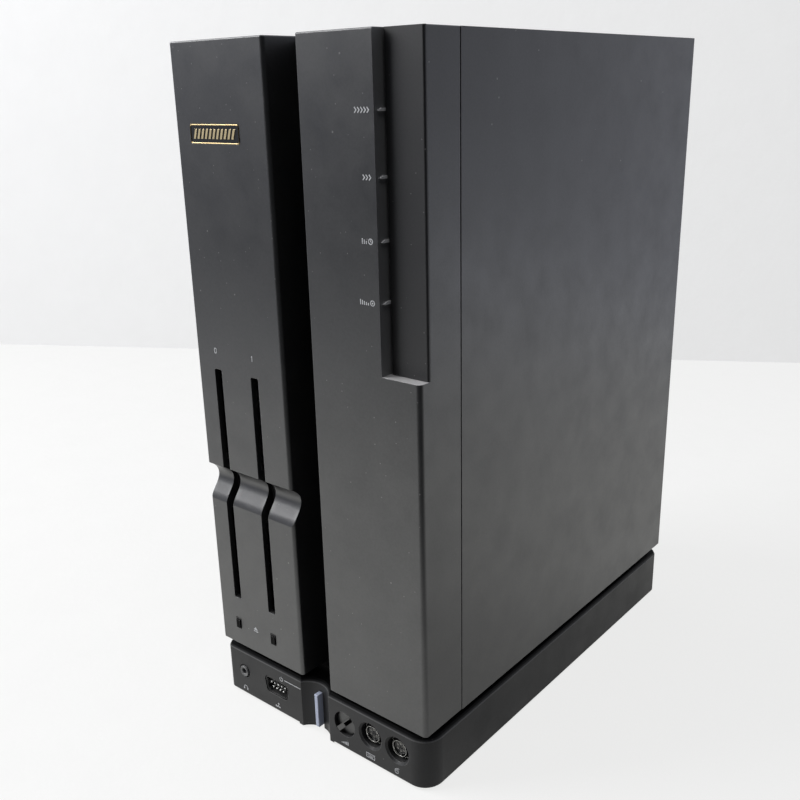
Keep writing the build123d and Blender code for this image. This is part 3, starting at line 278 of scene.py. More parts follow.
def circuit_board(name):
    """Green solder mask over a grid of faint copper tracks."""
    material, tree, bsdf = shader_tree(name)
    cells = add_node(tree, "ShaderNodeTexBrick", {
        "Vector": object_coords(tree), "Scale": 1.0 / (9 * MM), "Mortar Size": 0.03,
        "Color1": (0.012, 0.075, 0.030, 1), "Color2": (0.014, 0.090, 0.036, 1),
        "Mortar": (0.030, 0.140, 0.055, 1)})
    stain = remap(tree, noise(tree, 14, 4.0, 0.6), 0.3, 0.7)
    base = mix_colour(tree, maths(tree, "MULTIPLY", stain, 0.4), cells.outputs["Color"],
                      (0.009, 0.050, 0.022, 1))
    tree.links.new(base, bsdf.inputs["Base Color"])
    tree.links.new(remap(tree, noise(tree, 3), 0.3, 0.7, 0.28, 0.42), bsdf.inputs["Roughness"])
    tree.links.new(bump(tree, cells.outputs["Fac"], 0.02, 0.6), bsdf.inputs["Normal"])
    return material


def lens_material(name):
    """Milky indicator lens."""
    material, tree, bsdf = shader_tree(name)
    cloud = remap(tree, noise(tree, 1.2, 3.0, 0.6), 0.3, 0.7)
    tree.links.new(mix_colour(tree, cloud, (0.78, 0.78, 0.77, 1), (0.92, 0.92, 0.91, 1)),
                   bsdf.inputs["Base Color"])
    tree.links.new(remap(tree, noise(tree, 0.8), 0.3, 0.7, 0.18, 0.30), bsdf.inputs["Roughness"])
    tree.links.new(bump(tree, noise(tree, 0.5), 0.01, 0.5), bsdf.inputs["Normal"])
    bsdf.inputs["Subsurface Weight"].default_value = 0.25
    bsdf.inputs["Subsurface Radius"].default_value = (0.0012, 0.0012, 0.0012)
    return material


def paint(name, colour, rough=0.5):
    """Screen-printed ink, a little uneven."""
    material, tree, bsdf = shader_tree(name)
    cover = remap(tree, noise(tree, 0.7, 4.0, 0.7), 0.3, 0.75)
    tree.links.new(mix_colour(tree, cover, shade(colour, 0.82), shade(colour, 1.05)),
                   bsdf.inputs["Base Color"])
    tree.links.new(remap(tree, noise(tree, 1.5), 0.3, 0.7, rough - 0.06, rough + 0.06),
                   bsdf.inputs["Roughness"])
    tree.links.new(bump(tree, noise(tree, 0.25), 0.003, 0.5), bsdf.inputs["Normal"])
    return material


TOWER_COLOUR = grey(0.0135, (0.98, 1.0, 1.04))
TOWER_LOOK = {"rough": 0.38, "specular": 0.86, "ior": 1.55, "wear_and_highlight": 0.6, "dust": 0.5, "soft": 0.4}
TOWER = moulded("tower_black", TOWER_COLOUR, **TOWER_LOOK)
# The right bezel's corner recess gets painted light on its wall and a partly painted highlight on its
# ledge.
TOWER_WITH_PAINTED_RECESS = moulded("tower_black_painted_recess", TOWER_COLOUR, recess=(RECESS_X, LEDGE), **TOWER_LOOK)
# The base gets a painted highlight along its shoulder and painted shade on the rim over it.
BASE = moulded("base_black", grey(0.030, (1.0, 1.0, 1.02)), 0.46, 0.27, wear_and_highlight=0.5, dust=0.35, soft=0.4,
               shoulder=SHOULDER)
KNOB = moulded("knob_black", grey(0.016), 0.30, 0.75, soft=0.2)
DARK = moulded("dark_plastic", grey(0.008), 0.55, 0.3, dust=0.2)
# Painted shade: a darker, duller copy of the black plastic for the inner panels, spine and neck between and
# under the towers.
GAP_PAINTED_SHADE = moulded("gap_painted_shade", grey(0.0035), 0.60, 0.12, soft=0.2)
# Eject buttons: their pale tops and edges, laid on as dust and paled edges, are also a painted highlight.
EJECT = moulded("eject_black", grey(0.005), 0.60, 0.05, dust=0.6, soft=0.15, top_dust_and_highlight=1.0, wear_and_highlight=0.5)
SOCKET = moulded("socket_black", grey(0.010), 0.30, 0.45, grain=0.2, depth=0.003, soft=0.15)
# Painted shade: the darkest, dullest black, with no dust, for parts deep inside the sockets and the ring in
# the jack's gap.
DEEP_PAINTED_SHADE = moulded("deep_painted_shade", grey(0.004), 0.60, 0.10, soft=0.1, top_dust_and_highlight=0.0)
BUSHING = moulded("bushing_grey", grey(0.160), 0.34, 0.6, grain=0.2, depth=0.003, soft=0.2)
STRIP = moulded("strip_black", grey(0.012, (1.0, 1.0, 1.06)), 0.46, 0.70, grain=0.2, depth=0.002,
                dust=0.45)
# Painted light: the button's colour is paler than its own, making up for the dim light on its face.
BLUE = moulded("button_blue", grey(0.720, (0.91, 1.0, 1.24)), 0.34, 0.8, grain=0.25, depth=0.004,
               mottle=0.06, soft=0.35, top_dust_and_highlight=0.5)
HANDLE = moulded("handle_black", grey(0.012), 0.44, 0.8, wear_and_highlight=0.3, dust=0.4)
RUBBER = moulded("foot_rubber", grey(0.016), 0.78, 0.25, grain=0.5, depth=0.02)
CHIP = moulded("component_black", grey(0.013), 0.45, 0.4, grain=0.25)
CLAMP = moulded("clamp_white", grey(0.55, (1.0, 0.99, 0.95)), 0.40, 0.5, mottle=0.05)
PLATED = metal("plated_steel", (0.62, 0.62, 0.60, 1), 0.28)
BRIGHT = metal("bright_plating", (0.86, 0.85, 0.82, 1), 0.16, depth=0.001, tarnish=0.12)
SCREW = metal("screw_steel", (0.30, 0.30, 0.31, 1), 0.34, tarnish=0.4)
CAST = metal("cast_aluminium", (0.56, 0.57, 0.58, 1), 0.46, grain=0.5, depth=0.02)
STEEL = metal("drive_steel", (0.58, 0.58, 0.57, 1), 0.30, stretch=(1.0, 0.12, 1.0))
GOLD = metal("gold_leaf", (0.95, 0.77, 0.43, 1), 0.24, grain=0.3, depth=0.002, tarnish=0.10)
DARK_GOLD = metal("rim_gold", (0.60, 0.46, 0.24, 1), 0.30, grain=0.3, depth=0.002, tarnish=0.15)
TIN = metal("tin_pins", (0.92, 0.92, 0.90, 1), 0.36, depth=0.001, tarnish=0.06)
CONTACT = metal("dull_contacts", (0.40, 0.39, 0.37, 1), 0.45, depth=0.001, tarnish=0.2)
BOARD = circuit_board("circuit_board")
LENS = lens_material("indicator_lens")
INK = paint("pale_ink", (0.82, 0.83, 0.84, 1))

SLOT_MATERIALS = {
    "tower_plastic": TOWER, "base_plastic": BASE, "dark_plastic": DARK, "socket_plastic": SOCKET,
    "strip_plastic": STRIP, "lens": LENS, "badge": SOCKET, "button_blue": BLUE,
    "handle_plastic": HANDLE, "rubber": RUBBER, "plated_steel": PLATED, "screw_steel": SCREW,
    "circuit_board": BOARD, "component_black": CHIP, "cast_aluminium": CAST, "drive_steel": STEEL,
    "clamp_white": CLAMP,
}


NODE_MATERIALS = {
    "right_front_bezel": TOWER_WITH_PAINTED_RECESS, "left_inner_panel": GAP_PAINTED_SHADE, "right_inner_panel": GAP_PAINTED_SHADE,
    "centre_spine": GAP_PAINTED_SHADE, "eject_button_0": EJECT, "eject_button_1": EJECT, "volume_knob": KNOB,
    "tower_frame": GAP_PAINTED_SHADE,
}


def dress_nodes():
    """Gives every CAD node the material of its slot in the record, or its own."""
    for name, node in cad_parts.items():
        slot = node.data.materials[0].name.split(".")[0]
        node.data.materials[0] = NODE_MATERIALS.get(name, SLOT_MATERIALS[slot])


dress_nodes()


# ---------------------------------------------------------------- meshes
# A part is a (points, faces) pair in millimetres; an outline is a list of (x, z) points.

def slab(x, y, z):
    """A box between three (low, high) pairs."""
    points = [(a, b, c) for a in x for b in y for c in z]
    return points, [(0, 1, 3, 2), (4, 6, 7, 5), (0, 4, 5, 1), (2, 3, 7, 6), (0, 2, 6, 4), (1, 5, 7, 3)]


def circle(x, z, radius, steps=40):
    angles = [2 * pi * i / steps for i in range(steps)]
    return [(x + radius * cos(a), z + radius * sin(a)) for a in angles]


def soften(corners, radius, steps=5):
    """An outline with its corners rounded."""
    outline = []
    for i, corner in enumerate(corners):
        here = Vector(corner)
        start = here + (Vector(corners[i - 1]) - here).normalized() * radius
        end = here + (Vector(corners[(i + 1) % len(corners)]) - here).normalized() * radius
        for k in range(steps + 1):
            t = k / steps
            outline.append(start * (1 - t) ** 2 + here * 2 * t * (1 - t) + end * t ** 2)
    return outline


def rectangle(x, z):
    return [(x[0], z[0]), (x[1], z[0]), (x[1], z[1]), (x[0], z[1])]


def d_outline(x, z, width, height, radius=2.6, upright=False):
    """The outline of a D-shaped socket, wide at the top; upright turns its wide side to the right."""
    lean = height * 0.176
    corners = [(-width / 2 + lean, -height / 2), (width / 2 - lean, -height / 2),
               (width / 2, height / 2), (-width / 2, height / 2)]
    if upright:
        corners = [(v, -u) for u, v in corners]
    return soften([(x + u, z + v) for u, v in corners], radius)


def sleeve(loops, closed=False):
    """The skin through successive (outline, y) pairs; closed joins the last to the first."""
    count = len(loops[0][0])
    points = [(point[0], y, point[1]) for outline, y in loops for point in outline]
    faces = []
    for k in range(len(loops) - (0 if closed else 1)):
        a, b = k * count, (k + 1) % len(loops) * count
        faces += [(a + i, a + (i + 1) % count, b + (i + 1) % count, b + i) for i in range(count)]
    return points, faces


def prism(outline, y):
    """An outline carried from y[0] to y[1], closed at both ends."""
    points, faces = sleeve([(outline, y[0]), (outline, y[1])])
    count = len(outline)
    return points, faces + [tuple(range(count)), tuple(range(count, 2 * count))]


def stroke(line, width, y, closed=False):
    """A line of some width with mitred corners, carried from y[0] to y[1]."""
    count = len(line)
    left, right = [], []
    for i, point in enumerate(line):
        here = Vector(point)
        into = here - Vector(line[i - 1]) if closed or i else Vector(line[1]) - here
        out = Vector(line[(i + 1) % count]) - here if closed or i < count - 1 else into
        along = (into.normalized() + out.normalized()).normalized()
        reach = width / 2 / max(0.4, along.dot(into.normalized()))
        side = Vector((-along.y, along.x)) * reach
        left.append(here + side)
        right.append(here - side)
    if closed:
        return sleeve([(left, y[0]), (right, y[0]), (right, y[1]), (left, y[1])], closed=True)
    return prism(left + right[::-1], y)


def piece(name, parts, material, body="case", replaces=(), bevel=0.0, angle=35.0):
    """One object from several parts; it rides on a body, and may stand for CAD nodes."""
    points, faces = [], []
    for part_points, part_faces in parts:
        start = len(points)
        points += [Vector(p) * MM for p in part_points]
        faces += [tuple(start + i for i in face) for face in part_faces]
    mesh = bpy.data.meshes.new(name)
    mesh.from_pydata(points, [], faces)
    work = bmesh.new()
    work.from_mesh(mesh)
    bmesh.ops.recalc_face_normals(work, faces=work.faces)
    work.to_mesh(mesh)
    work.free()
    mesh.materials.append(material)
    mesh.shade_smooth()
    mesh.set_sharp_from_angle(angle=radians(angle))
    thing = bpy.data.objects.new(name, mesh)
    bpy.context.scene.collection.objects.link(thing)
    if bevel:
        rounding = thing.modifiers.new("rounding", "BEVEL")
        rounding.width = bevel * MM
        rounding.segments = 3
        rounding.limit_method = "ANGLE"
        rounding.angle_limit = radians(40)
    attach(thing, body)
    if replaces:
        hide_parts(*replaces)
    return thing


# ---------------------------------------------------------------- badge

def badge():
    """A generic badge: a black field with slanted gold bars inside a gold rim."""
    low, high = box_mm("badge_plate")
    back, face = high.y, low.y + 0.35
    rim_width, radius = 0.45, 1.3
    outer = soften(rectangle((low.x, high.x), (low.z, high.z)), radius)
    inner = soften(rectangle((low.x + rim_width, high.x - rim_width),
                             (low.z + rim_width, high.z - rim_width)), radius - rim_width / 2)
    middle = [(Vector(a) + Vector(b)) / 2 for a, b in zip(outer, inner)]
    rim = sleeve([(outer, back), (outer, face - 0.15), (middle, low.y), (inner, face - 0.15),
                  (inner, back)], closed=True)
    piece("badge_field", [prism(inner, (face, back))], SOCKET, replaces=["badge_plate"])
    piece("badge_rim", [rim], DARK_GOLD)
    bars, slant, width = 11, 1.5, 1.5
    inset_x, inset_z, spare = 2.4, 2.2, 6.4
    bottom, top = low.z + inset_z, high.z - inset_z
    pitch = (high.x - low.x - spare - slant) / (bars - 1)
    parts = []
    for i in range(bars):
        x = low.x + inset_x + i * pitch
        corners = [(x, bottom), (x + width, bottom), (x + width + slant, top), (x + slant, top)]
        parts.append(prism(soften(corners, 0.25, 3), (low.y + 0.08, face + 0.1)))
    piece("badge_bars", parts, GOLD, bevel=0.1)


# ---------------------------------------------------------------- printed marks

LINE = 0.42                  # usual width of a printed line
RING_CENTRE = 1.3            # a lens mark's ring, left of the mark's right end
MARK_REACH = (-0.05, 0.1)    # how far a mark stands before and behind its surface


def arc(x, z, radius, start, end, steps=14):
    angles = [radians(start + (end - start) * i / steps) for i in range(steps + 1)]
    return [(x + radius * cos(a), z + radius * sin(a)) for a in angles]


def headphones(x, z, y):
    ears = [slab(sorted((x + side * 1.0, x + side * 1.9)), y, (z - 1.4, z + 0.1)) for side in (-1, 1)]
    return [stroke(arc(x, z - 0.1, 1.45, 0, 180), LINE, y)] + ears


def joystick(x, z, y):
    return [slab((x - 2.0, x + 2.0), y, (z - 1.5, z - 0.7)),
            stroke([(x, z - 0.8), (x + 0.5, z + 0.7)], 0.5, y),
            prism(circle(x + 0.6, z + 0.95, 0.62, 20), y),
            slab((x - 1.6, x - 1.0), y, (z - 0.7, z - 0.4))]


def rising_bars(x, z, y):
    return [slab((x - 2.7 + i * 1.1, x - 2.0 + i * 1.1), y, (z - 1.3, z - 0.8 + i * 0.5)) for i in range(5)]


def keyboard(x, z, y):
    outline = rectangle((x - 2.9, x + 2.9), (z - 1.3, z + 1.3))
    keys = [slab((x - 2.1 + i * 0.9, x - 1.6 + i * 0.9), y, (z + 0.1, z + 0.6)) for i in range(5)]
    return [stroke(outline, 0.35, y, closed=True), slab((x - 1.6, x + 1.6), y, (z - 0.75, z - 0.3))] + keys


def mouse(x, z, y):
    outline = soften(rectangle((x - 1.05, x + 1.05), (z - 1.6, z + 1.0)), 0.95, 6)
    tail = [(x, z + 1.0), (x + 0.1, z + 1.5), (x + 0.9, z + 1.8), (x + 1.7, z + 1.6)]
    return [stroke(outline, 0.35, y, closed=True), stroke([(x - 1.0, z), (x + 1.0, z)], 0.3, y),
            stroke([(x, z), (x, z + 1.0)], 0.3, y), stroke(tail, 0.3, y)]


def power(x, z, y):
    return [stroke(arc(x, z - 0.1, 1.2, 125, 415), LINE, y), stroke([(x, z), (x, z + 1.5)], LINE, y)]


def chevrons(x, z, y, count):
    """A row of arrowheads that ends at x."""
    tips = [x - k * 1.75 for k in range(count)]
    return [stroke([(tip - 1.0, z + 1.15), (tip, z), (tip - 1.0, z - 1.15)], 0.5, y) for tip in tips]


def fast(x, z, y):
    return chevrons(x, z, y, 5)


def slow(x, z, y):
    return chevrons(x, z, y, 3)


def level_bars(x, z, y, count):
    """Upright bars of falling height, side by side, the last one at x."""
    bars = []
    for k in range(count):
        right = x - k * 1.15
        bars.append(slab((right - 0.5, right), y, (z - 1.2, z - 0.4 + 1.6 * (k + 1) / count)))
    return bars


def ring_and_bars(x, z, y, inside, count):
    """A ring with something inside it, and bars on its left."""
    ring = stroke(circle(x - RING_CENTRE, z, 1.15, 28), LINE, y, closed=True)
    return [ring, inside] + level_bars(x - 3.5, z, y, count)


def timer(x, z, y):
    centre = x - RING_CENTRE
    hands = stroke([(centre, z + 0.8), (centre, z), (centre + 0.55, z - 0.3)], 0.36, y)
    return ring_and_bars(x, z, y, hands, 3)


def hard_disk(x, z, y):
    hub = prism(circle(x - RING_CENTRE, z, 0.45, 16), y)
    return ring_and_bars(x, z, y, hub, 5)


def eject(x, z, y):
    return [prism([(x - 1.8, z - 0.3), (x + 1.8, z - 0.3), (x, z + 1.6)], y),
            slab((x - 1.8, x + 1.8), y, (z - 1.4, z - 0.8))]


def digit_zero(x, z, y):
    outline = soften(rectangle((x - 0.75, x + 0.75), (z - 1.3, z + 1.3)), 0.7, 5)
    return [stroke(outline, LINE, y, closed=True)]


def digit_one(x, z, y):
    return [stroke([(x - 0.6, z + 0.8), (x, z + 1.4), (x, z - 1.5)], LINE, y)]


UNDER_SOCKETS_Z = 5.7
POWER_Z = 25.1
BESIDE_LENSES_X = 51.2
DRIVE_NUMBER_Z = 214.9


def marks():
    """Plain symbols and drive numbers where the object carries its printing."""
    low = tuple(BASE_FRONT + reach for reach in MARK_REACH)
    high = tuple(FRONT + reach for reach in MARK_REACH)
    under_sockets = (("mark_headphones", headphones, -62.6), ("mark_joystick", joystick, -34.9),
                     ("mark_volume", rising_bars, 18.1), ("mark_keyboard", keyboard, 36.5),
                     ("mark_mouse", mouse, 54.6))
    for name, draw, x in under_sockets:
        piece(name, draw(x, UNDER_SOCKETS_Z, low), INK)
    leader = stroke([(-28.0, POWER_Z), (-15.1, POWER_Z)], 0.5, low)
    piece("mark_power", power(-30.5, POWER_Z, low) + [leader], INK)
    names = ("mark_fast", "mark_slow", "mark_timer", "mark_disk")
    for name, draw, z in zip(names, (fast, slow, timer, hard_disk), LENS_Z):
        piece(name, draw(BESIDE_LENSES_X, z, high), INK)
    piece("mark_eject", eject(-47.3, 51.8, high), INK)
    piece("mark_drive_0", digit_zero(-61.5, DRIVE_NUMBER_Z, high), INK)
    piece("mark_drive_1", digit_one(-33.0, DRIVE_NUMBER_Z, high), INK)


# ---------------------------------------------------------------- front sockets

PHONES_X, PHONES_Z = -62.3, 17.3
PHONES_HALF = 4.0            # half the square opening through the jack's body
PHONES_BACK = 1.0            # thickness of the body's rear wall
BUSHING_BORE, BUSHING_OUTER = 1.85, 3.4
# The dark ring is painted shade: a black sheet in the gap round the bushing.
LINER_RADII = (3.45, 4.38)   # dark ring round the bushing
JOYSTICK_X, JOYSTICK_Z = -34.9, 17.1
ROUND_SOCKETS = {"keyboard_socket": 36.5, "mouse_socket": 55.0}
ROUND_Z = 18.3
PIN_PITCH = 2.77
ROW_OFFSET = 1.42            # of each pin row from the middle of a D-shaped socket
# Round sockets: inner and outer radii, from the middle outwards.
SHIELD_RADII = (4.42, 4.56)      # plated shield
COLLAR_RADII = (4.6, 5.3)        # black collar
CUP_RING_RADII = (6.28, 6.46)    # plated ring at the bottom of the cup
CONTACT_CIRCLE = 2.2         # radius on which the contacts stand
CONTACT_COUNT = 6


def tube_ring(x, z, inner, outer, y, lip=0.1):
    """A ring from y[0], its front, back to y[1], with its front edges rounded over by lip."""
    loops = [(circle(x, z, inner), y[1]), (circle(x, z, inner), y[0] + lip),
             (circle(x, z, inner + lip * 0.3), y[0] + lip * 0.3), (circle(x, z, inner + lip), y[0]),
             (circle(x, z, outer - lip), y[0]), (circle(x, z, outer - lip * 0.3), y[0] + lip * 0.3),
             (circle(x, z, outer), y[0] + lip), (circle(x, z, outer), y[1])]
    return sleeve(loops, closed=True)


def domed_pin(x, z, radius, y):
    """A pin from its root at y[1] forward to a domed tip at y[0]."""
    profile = ((radius, y[1]), (radius, y[0] + radius), (radius * 0.8, y[0] + radius * 0.4),
               (radius * 0.4, y[0] + 0.05), (radius * 0.02, y[0]))
    return sleeve([(circle(x, z, r, 16), place) for r, place in profile])


def phones():
    """The jack's bushing, a ring with a dished face round the hole, and its surroundings in painted-shade
    black.
    """
    low, high = box_mm("phones_jack")
    face = low.y + 0.05
    dish = ((BUSHING_BORE, high.y), (BUSHING_BORE, face + 0.5), (2.0, face + 0.3), (2.6, face + 0.15),
            (2.85, face), (3.1, face), (3.3, face + 0.2), (BUSHING_OUTER, face + 0.6),
            (BUSHING_OUTER, BASE_FRONT + 3.0))
    bushing = sleeve([(circle(PHONES_X, PHONES_Z, r), y) for r, y in dish], closed=True)
    piece("phones_bushing", [bushing], BUSHING)
    liner = tube_ring(PHONES_X, PHONES_Z, *LINER_RADII, (BASE_FRONT + 0.3, BASE_FRONT + 2.5), 0.05)
    piece("phones_liner", [liner], DEEP_PAINTED_SHADE)
    left, right = PHONES_X - PHONES_HALF, PHONES_X + PHONES_HALF
    bottom, top = PHONES_Z - PHONES_HALF, PHONES_Z + PHONES_HALF
    wall = high.y - PHONES_BACK
    depth = (BASE_FRONT + 2.6, wall)
    body = [slab((low.x, high.x), depth, (low.z, bottom)), slab((low.x, high.x), depth, (top, high.z)),
            slab((low.x, left), depth, (low.z, high.z)), slab((right, high.x), depth, (low.z, high.z)),
            slab((left, right), (wall, high.y), (bottom, top))]
    piece("phones_body", body, DEEP_PAINTED_SHADE, replaces=["phones_jack"])


def joystick_port():
    x, z = JOYSTICK_X, JOYSTICK_Z
    mouth, back = BASE_FRONT + 0.3, BASE_FRONT + 8.5
    floor = BASE_FRONT + 5.9
    profile = ((18.9, 9.8, 2.6, back), (18.9, 9.8, 2.6, mouth + 0.25), (18.7, 9.6, 2.6, mouth),
               (18.1, 9.0, 2.4, mouth), (17.8, 8.7, 2.3, mouth + 0.3), (17.2, 8.3, 2.1, back))
    shell = sleeve([(d_outline(x, z, width, height, radius), y) for width, height, radius, y in profile],
                   closed=True)
    piece("joystick_shell", [shell], SOCKET, replaces=["joystick_socket_shell"])
    low, high = box_mm("joystick_socket_pins")
    # The insulator is in painted-shade black.
    body = [prism(d_outline(x, z, 17.4, 8.4, 2.1), (floor, back)),
            slab((low.x, high.x), (back, high.y), (low.z, high.z))]
    piece("joystick_insulator", body, DEEP_PAINTED_SHADE, replaces=["joystick_socket_pins"])
    pins = []
    for count, row_z in ((5, ROW_OFFSET), (4, -ROW_OFFSET)):
        for i in range(count):
            pin_x = x + (i - (count - 1) / 2) * PIN_PITCH
            pins.append(domed_pin(pin_x, z + row_z, 0.5, (mouth + 0.6, floor)))
    piece("joystick_pins", pins, TIN)


def round_port(node, x):
    """Plated shield, the black collar round it and the body behind, both in painted-shade black, and the
    dark keyed insert with its sprung contacts.
    """
    low, high = box_mm(node)
    back = BASE_FRONT + 5.0
    collar = tube_ring(x, ROUND_Z, *COLLAR_RADII, (BASE_FRONT + 2.4, back), 0.25)
    piece(f"{node}_body", [slab((low.x, high.x), (back, high.y), (low.z, high.z)), collar], DEEP_PAINTED_SHADE,
          replaces=[node], bevel=0.1)
    plating = [tube_ring(x, ROUND_Z, *SHIELD_RADII, (BASE_FRONT + 2.2, back), 0.05),
               tube_ring(x, ROUND_Z, *CUP_RING_RADII, (back - 0.5, back), 0.06)]
    piece(f"{node}_shield", plating, BRIGHT)
    face = BASE_FRONT + 3.3
    key = rectangle((x - 1.0, x + 1.0), (ROUND_Z - 3.9, ROUND_Z - 3.0))
    profile = ((3.85, back), (3.85, face + 0.2), (3.7, face), (3.2, face), (3.1, face + 0.25),
               (0.02, face + 0.25))
    insert = sleeve([(circle(x, ROUND_Z, r), y) for r, y in profile])
    centre = stroke(rectangle((x - 0.95, x + 0.95), (ROUND_Z - 0.75, ROUND_Z + 0.35)), 0.3,
                    (face - 0.05, face + 0.3), closed=True)
    piece(f"{node}_insert", [insert, prism(key, (face - 0.3, face + 0.3)), centre], SOCKET)
    contacts = []
    for i in range(CONTACT_COUNT):
        angle = radians(30 + 360 / CONTACT_COUNT * i)
        place = (x + CONTACT_CIRCLE * cos(angle), ROUND_Z + CONTACT_CIRCLE * sin(angle))
        rings = ((0.55, face + 0.3), (0.55, face + 0.05), (0.36, face + 0.05), (0.36, face + 0.3))
        contacts.append(sleeve([(circle(*place, r, 16), y) for r, y in rings], closed=True))
    piece(f"{node}_contacts", contacts, CONTACT)


# ---------------------------------------------------------------- rear sockets

SOCKET_X = 26.0
REAR_D_SOCKETS = ((72.0, 39.0, 8), (122.0, 53.0, 13), (168.0, 31.0, 5))  # height, length, top row
REAR_JACKS = (196.0, 210.0, 224.0)       # heights, as for the square sockets
SQUARE_SOCKET_X = 56.0
SQUARE_SOCKETS = (70.0, 110.0, 150.0)
INLET = (-43.15, 252.0)
BLADES = ((-7, -2), (7, -2), (0, 2))     # the inlet's blades, from its middle
REAR_FACE = REAR + 0.75      # how far back the rear sockets reach
SHELL_DEPTH = 6.0            # how far the D-shaped shells go in from the rear panel


def rear_d_socket(z, length, top_row):
    """Shell with its flange, black insert, contacts and two hexagonal posts of a D-shaped socket."""
    span, root = length - 13, REAR - SHELL_DEPTH
    profile = ((0.0, 8.3, root), (0.0, 8.3, REAR_FACE - 0.2), (0.3, 8.0, REAR_FACE),
               (0.9, 7.4, REAR_FACE), (1.1, 7.2, root))
    shell = sleeve([(d_outline(SOCKET_X, z, span - less, height, upright=True), y)
                    for less, height, y in profile], closed=True)
    plate = rectangle((SOCKET_X - 6.2, SOCKET_X + 6.2), (z - length / 2 + 0.3, z + length / 2 - 0.3))
    flange = prism(soften(plate, 1.0), (REAR - 1.4, REAR - 0.6))
    insert = prism(d_outline(SOCKET_X, z, span - 1.0, 7.3, upright=True), (root, REAR_FACE - 0.5))
    posts, contacts = [], []
    for end in (-1, 1):
        level = z + end * (length / 2 - 3.6)
        hexagon, hole = circle(SOCKET_X, level, 2.4, 6), circle(SOCKET_X, level, 1.1, 6)
        posts.append(sleeve([(hexagon, REAR - 1), (hexagon, REAR_FACE - 0.1), (hole, REAR_FACE - 0.1),
                             (hole, REAR - 1)], closed=True))
    for row, x in ((top_row, ROW_OFFSET), (top_row - 1, -ROW_OFFSET)):
        for i in range(row):
            level = z + (i - (row - 1) / 2) * PIN_PITCH
            rings = ((0.7, REAR_FACE - 0.45), (0.45, REAR_FACE - 0.45), (0.45, REAR - 3))
            contacts.append(sleeve([(circle(SOCKET_X + x, level, r, 12), y) for r, y in rings]))
    return [shell, flange], [insert], contacts, posts


def rear_jack(z):
    """Plated bushing, and the black collar and body round it, of a round jack."""
    bushing = tube_ring(SOCKET_X, z, 1.8, 3.4, (REAR - 3, REAR_FACE), -0.2)
    profile = ((3.4, REAR_FACE - 0.5), (4.3, REAR_FACE - 0.5), (4.4, REAR_FACE - 0.8), (4.4, REAR - 3))
    collar = sleeve([(circle(SOCKET_X, z, r), y) for r, y in profile])
    body = slab((SOCKET_X - 6, SOCKET_X + 6), (REAR - 16, REAR - 3), (z - 6, z + 6))
    return [bushing], [collar, body]


def square_socket(z):
    """Black surround with a tongue inside, and the tongue's contacts."""
    x = SQUARE_SOCKET_X
    outer = rectangle((x - 6.8, x + 6.8), (z - 11.8, z + 11.8))
    inner = rectangle((x - 4.6, x + 4.6), (z - 9.6, z + 9.6))
    profile = ((outer, 0.8, REAR - 12), (outer, 0.8, REAR + 0.1), (outer, 1.0, REAR + 0.3),
               (inner, 0.6, REAR + 0.3), (inner, 0.6, REAR - 3.5), (inner, 0.1, REAR - 12))
    surround = sleeve([(soften(corners, radius), y) for corners, radius, y in profile], closed=True)
    tongue = slab((x - 1.4, x + 1.4), (REAR - 6, REAR - 0.6), (z - 8.8, z + 8.8))
    contacts = []
    for side in (-1, 1):
        for i in range(8):
            level = z + (i - 3.5) * 2.2
            ends = sorted((x + side * 1.4, x + side * 1.65))
            contacts.append(slab(ends, (REAR - 5, REAR - 1.2), (level - 0.45, level + 0.45)))
    return [surround, tongue], contacts


def rear_ports():
    """Everything in the right tower's rear panel, gathered by material."""
    shells, inserts, contacts, posts, bushings = [], [], [], [], []
    for z, length, top_row in REAR_D_SOCKETS:
        found = rear_d_socket(z, length, top_row)
        for kind, parts in zip((shells, inserts, contacts, posts), found):
            kind += parts
    for z in REAR_JACKS:
        for kind, parts in zip((bushings, inserts), rear_jack(z)):
            kind += parts
    for z in SQUARE_SOCKETS:
        for kind, parts in zip((inserts, contacts), square_socket(z)):
            kind += parts
    piece("rear_shells", shells, PLATED, replaces=["rear_connectors"])
    piece("rear_inserts", inserts, SOCKET)
    piece("rear_contacts", contacts, GOLD)
    piece("rear_posts", posts, BRIGHT)
    piece("rear_bushings", bushings, BRIGHT)


def inlet_blades():
    """Metal skins over the mains inlet's three blades."""
    blades = []
    for dx, dz in BLADES:
        x, z = INLET[0] + dx, INLET[1] + dz
        root = rectangle((x - 1.05, x + 1.05), (z - 2.05, z + 2.05))
        tip = rectangle((x - 0.65, x + 0.65), (z - 1.65, z + 1.65))
        end = circle(x, z, 0.01, 4)
        blades.append(sleeve([(root, REAR - 16.5), (root, REAR - 2.4), (tip, REAR - 1.95),
                              (end, REAR - 1.95)]))
    piece("inlet_blades", blades, BRIGHT)


badge()
marks()
phones()
joystick_port()
for socket_node, socket_x in ROUND_SOCKETS.items():
    round_port(socket_node, socket_x)
rear_ports()
inlet_blades()


# ---------------------------------------------------------------- stage, lights and camera

WALL_AZIMUTH = 30.0          # the backdrop's direction, from the X axis
WALL_DISTANCE = 674.0        # from the middle of the object
WALL_HEIGHT = 2600.0
STAGE_REACH = 4000.0
FLOOR_LIFT = 0.77
WALL_LIFT = 0.63
PAPER_WHITE = (1.01, 1.01, 1.0)
CAMERA_SIDE = (0.643, -0.766, 0.0)     # the darker side of the room
# Where painted shade turns the paper grey: start, end, albedo there, share of the glow left there.
FLOOR_SHADED = (270, 430, 0.10, 0.02)  # towards CAMERA_SIDE
WALL_SHADED = (900, 2400, 0.35, 0.45)  # along the wall
# The fronts mirror the floor on this side, and the right side the floor on the other.
MIRROR_AXIS = (-0.643, -0.766, 0.0)
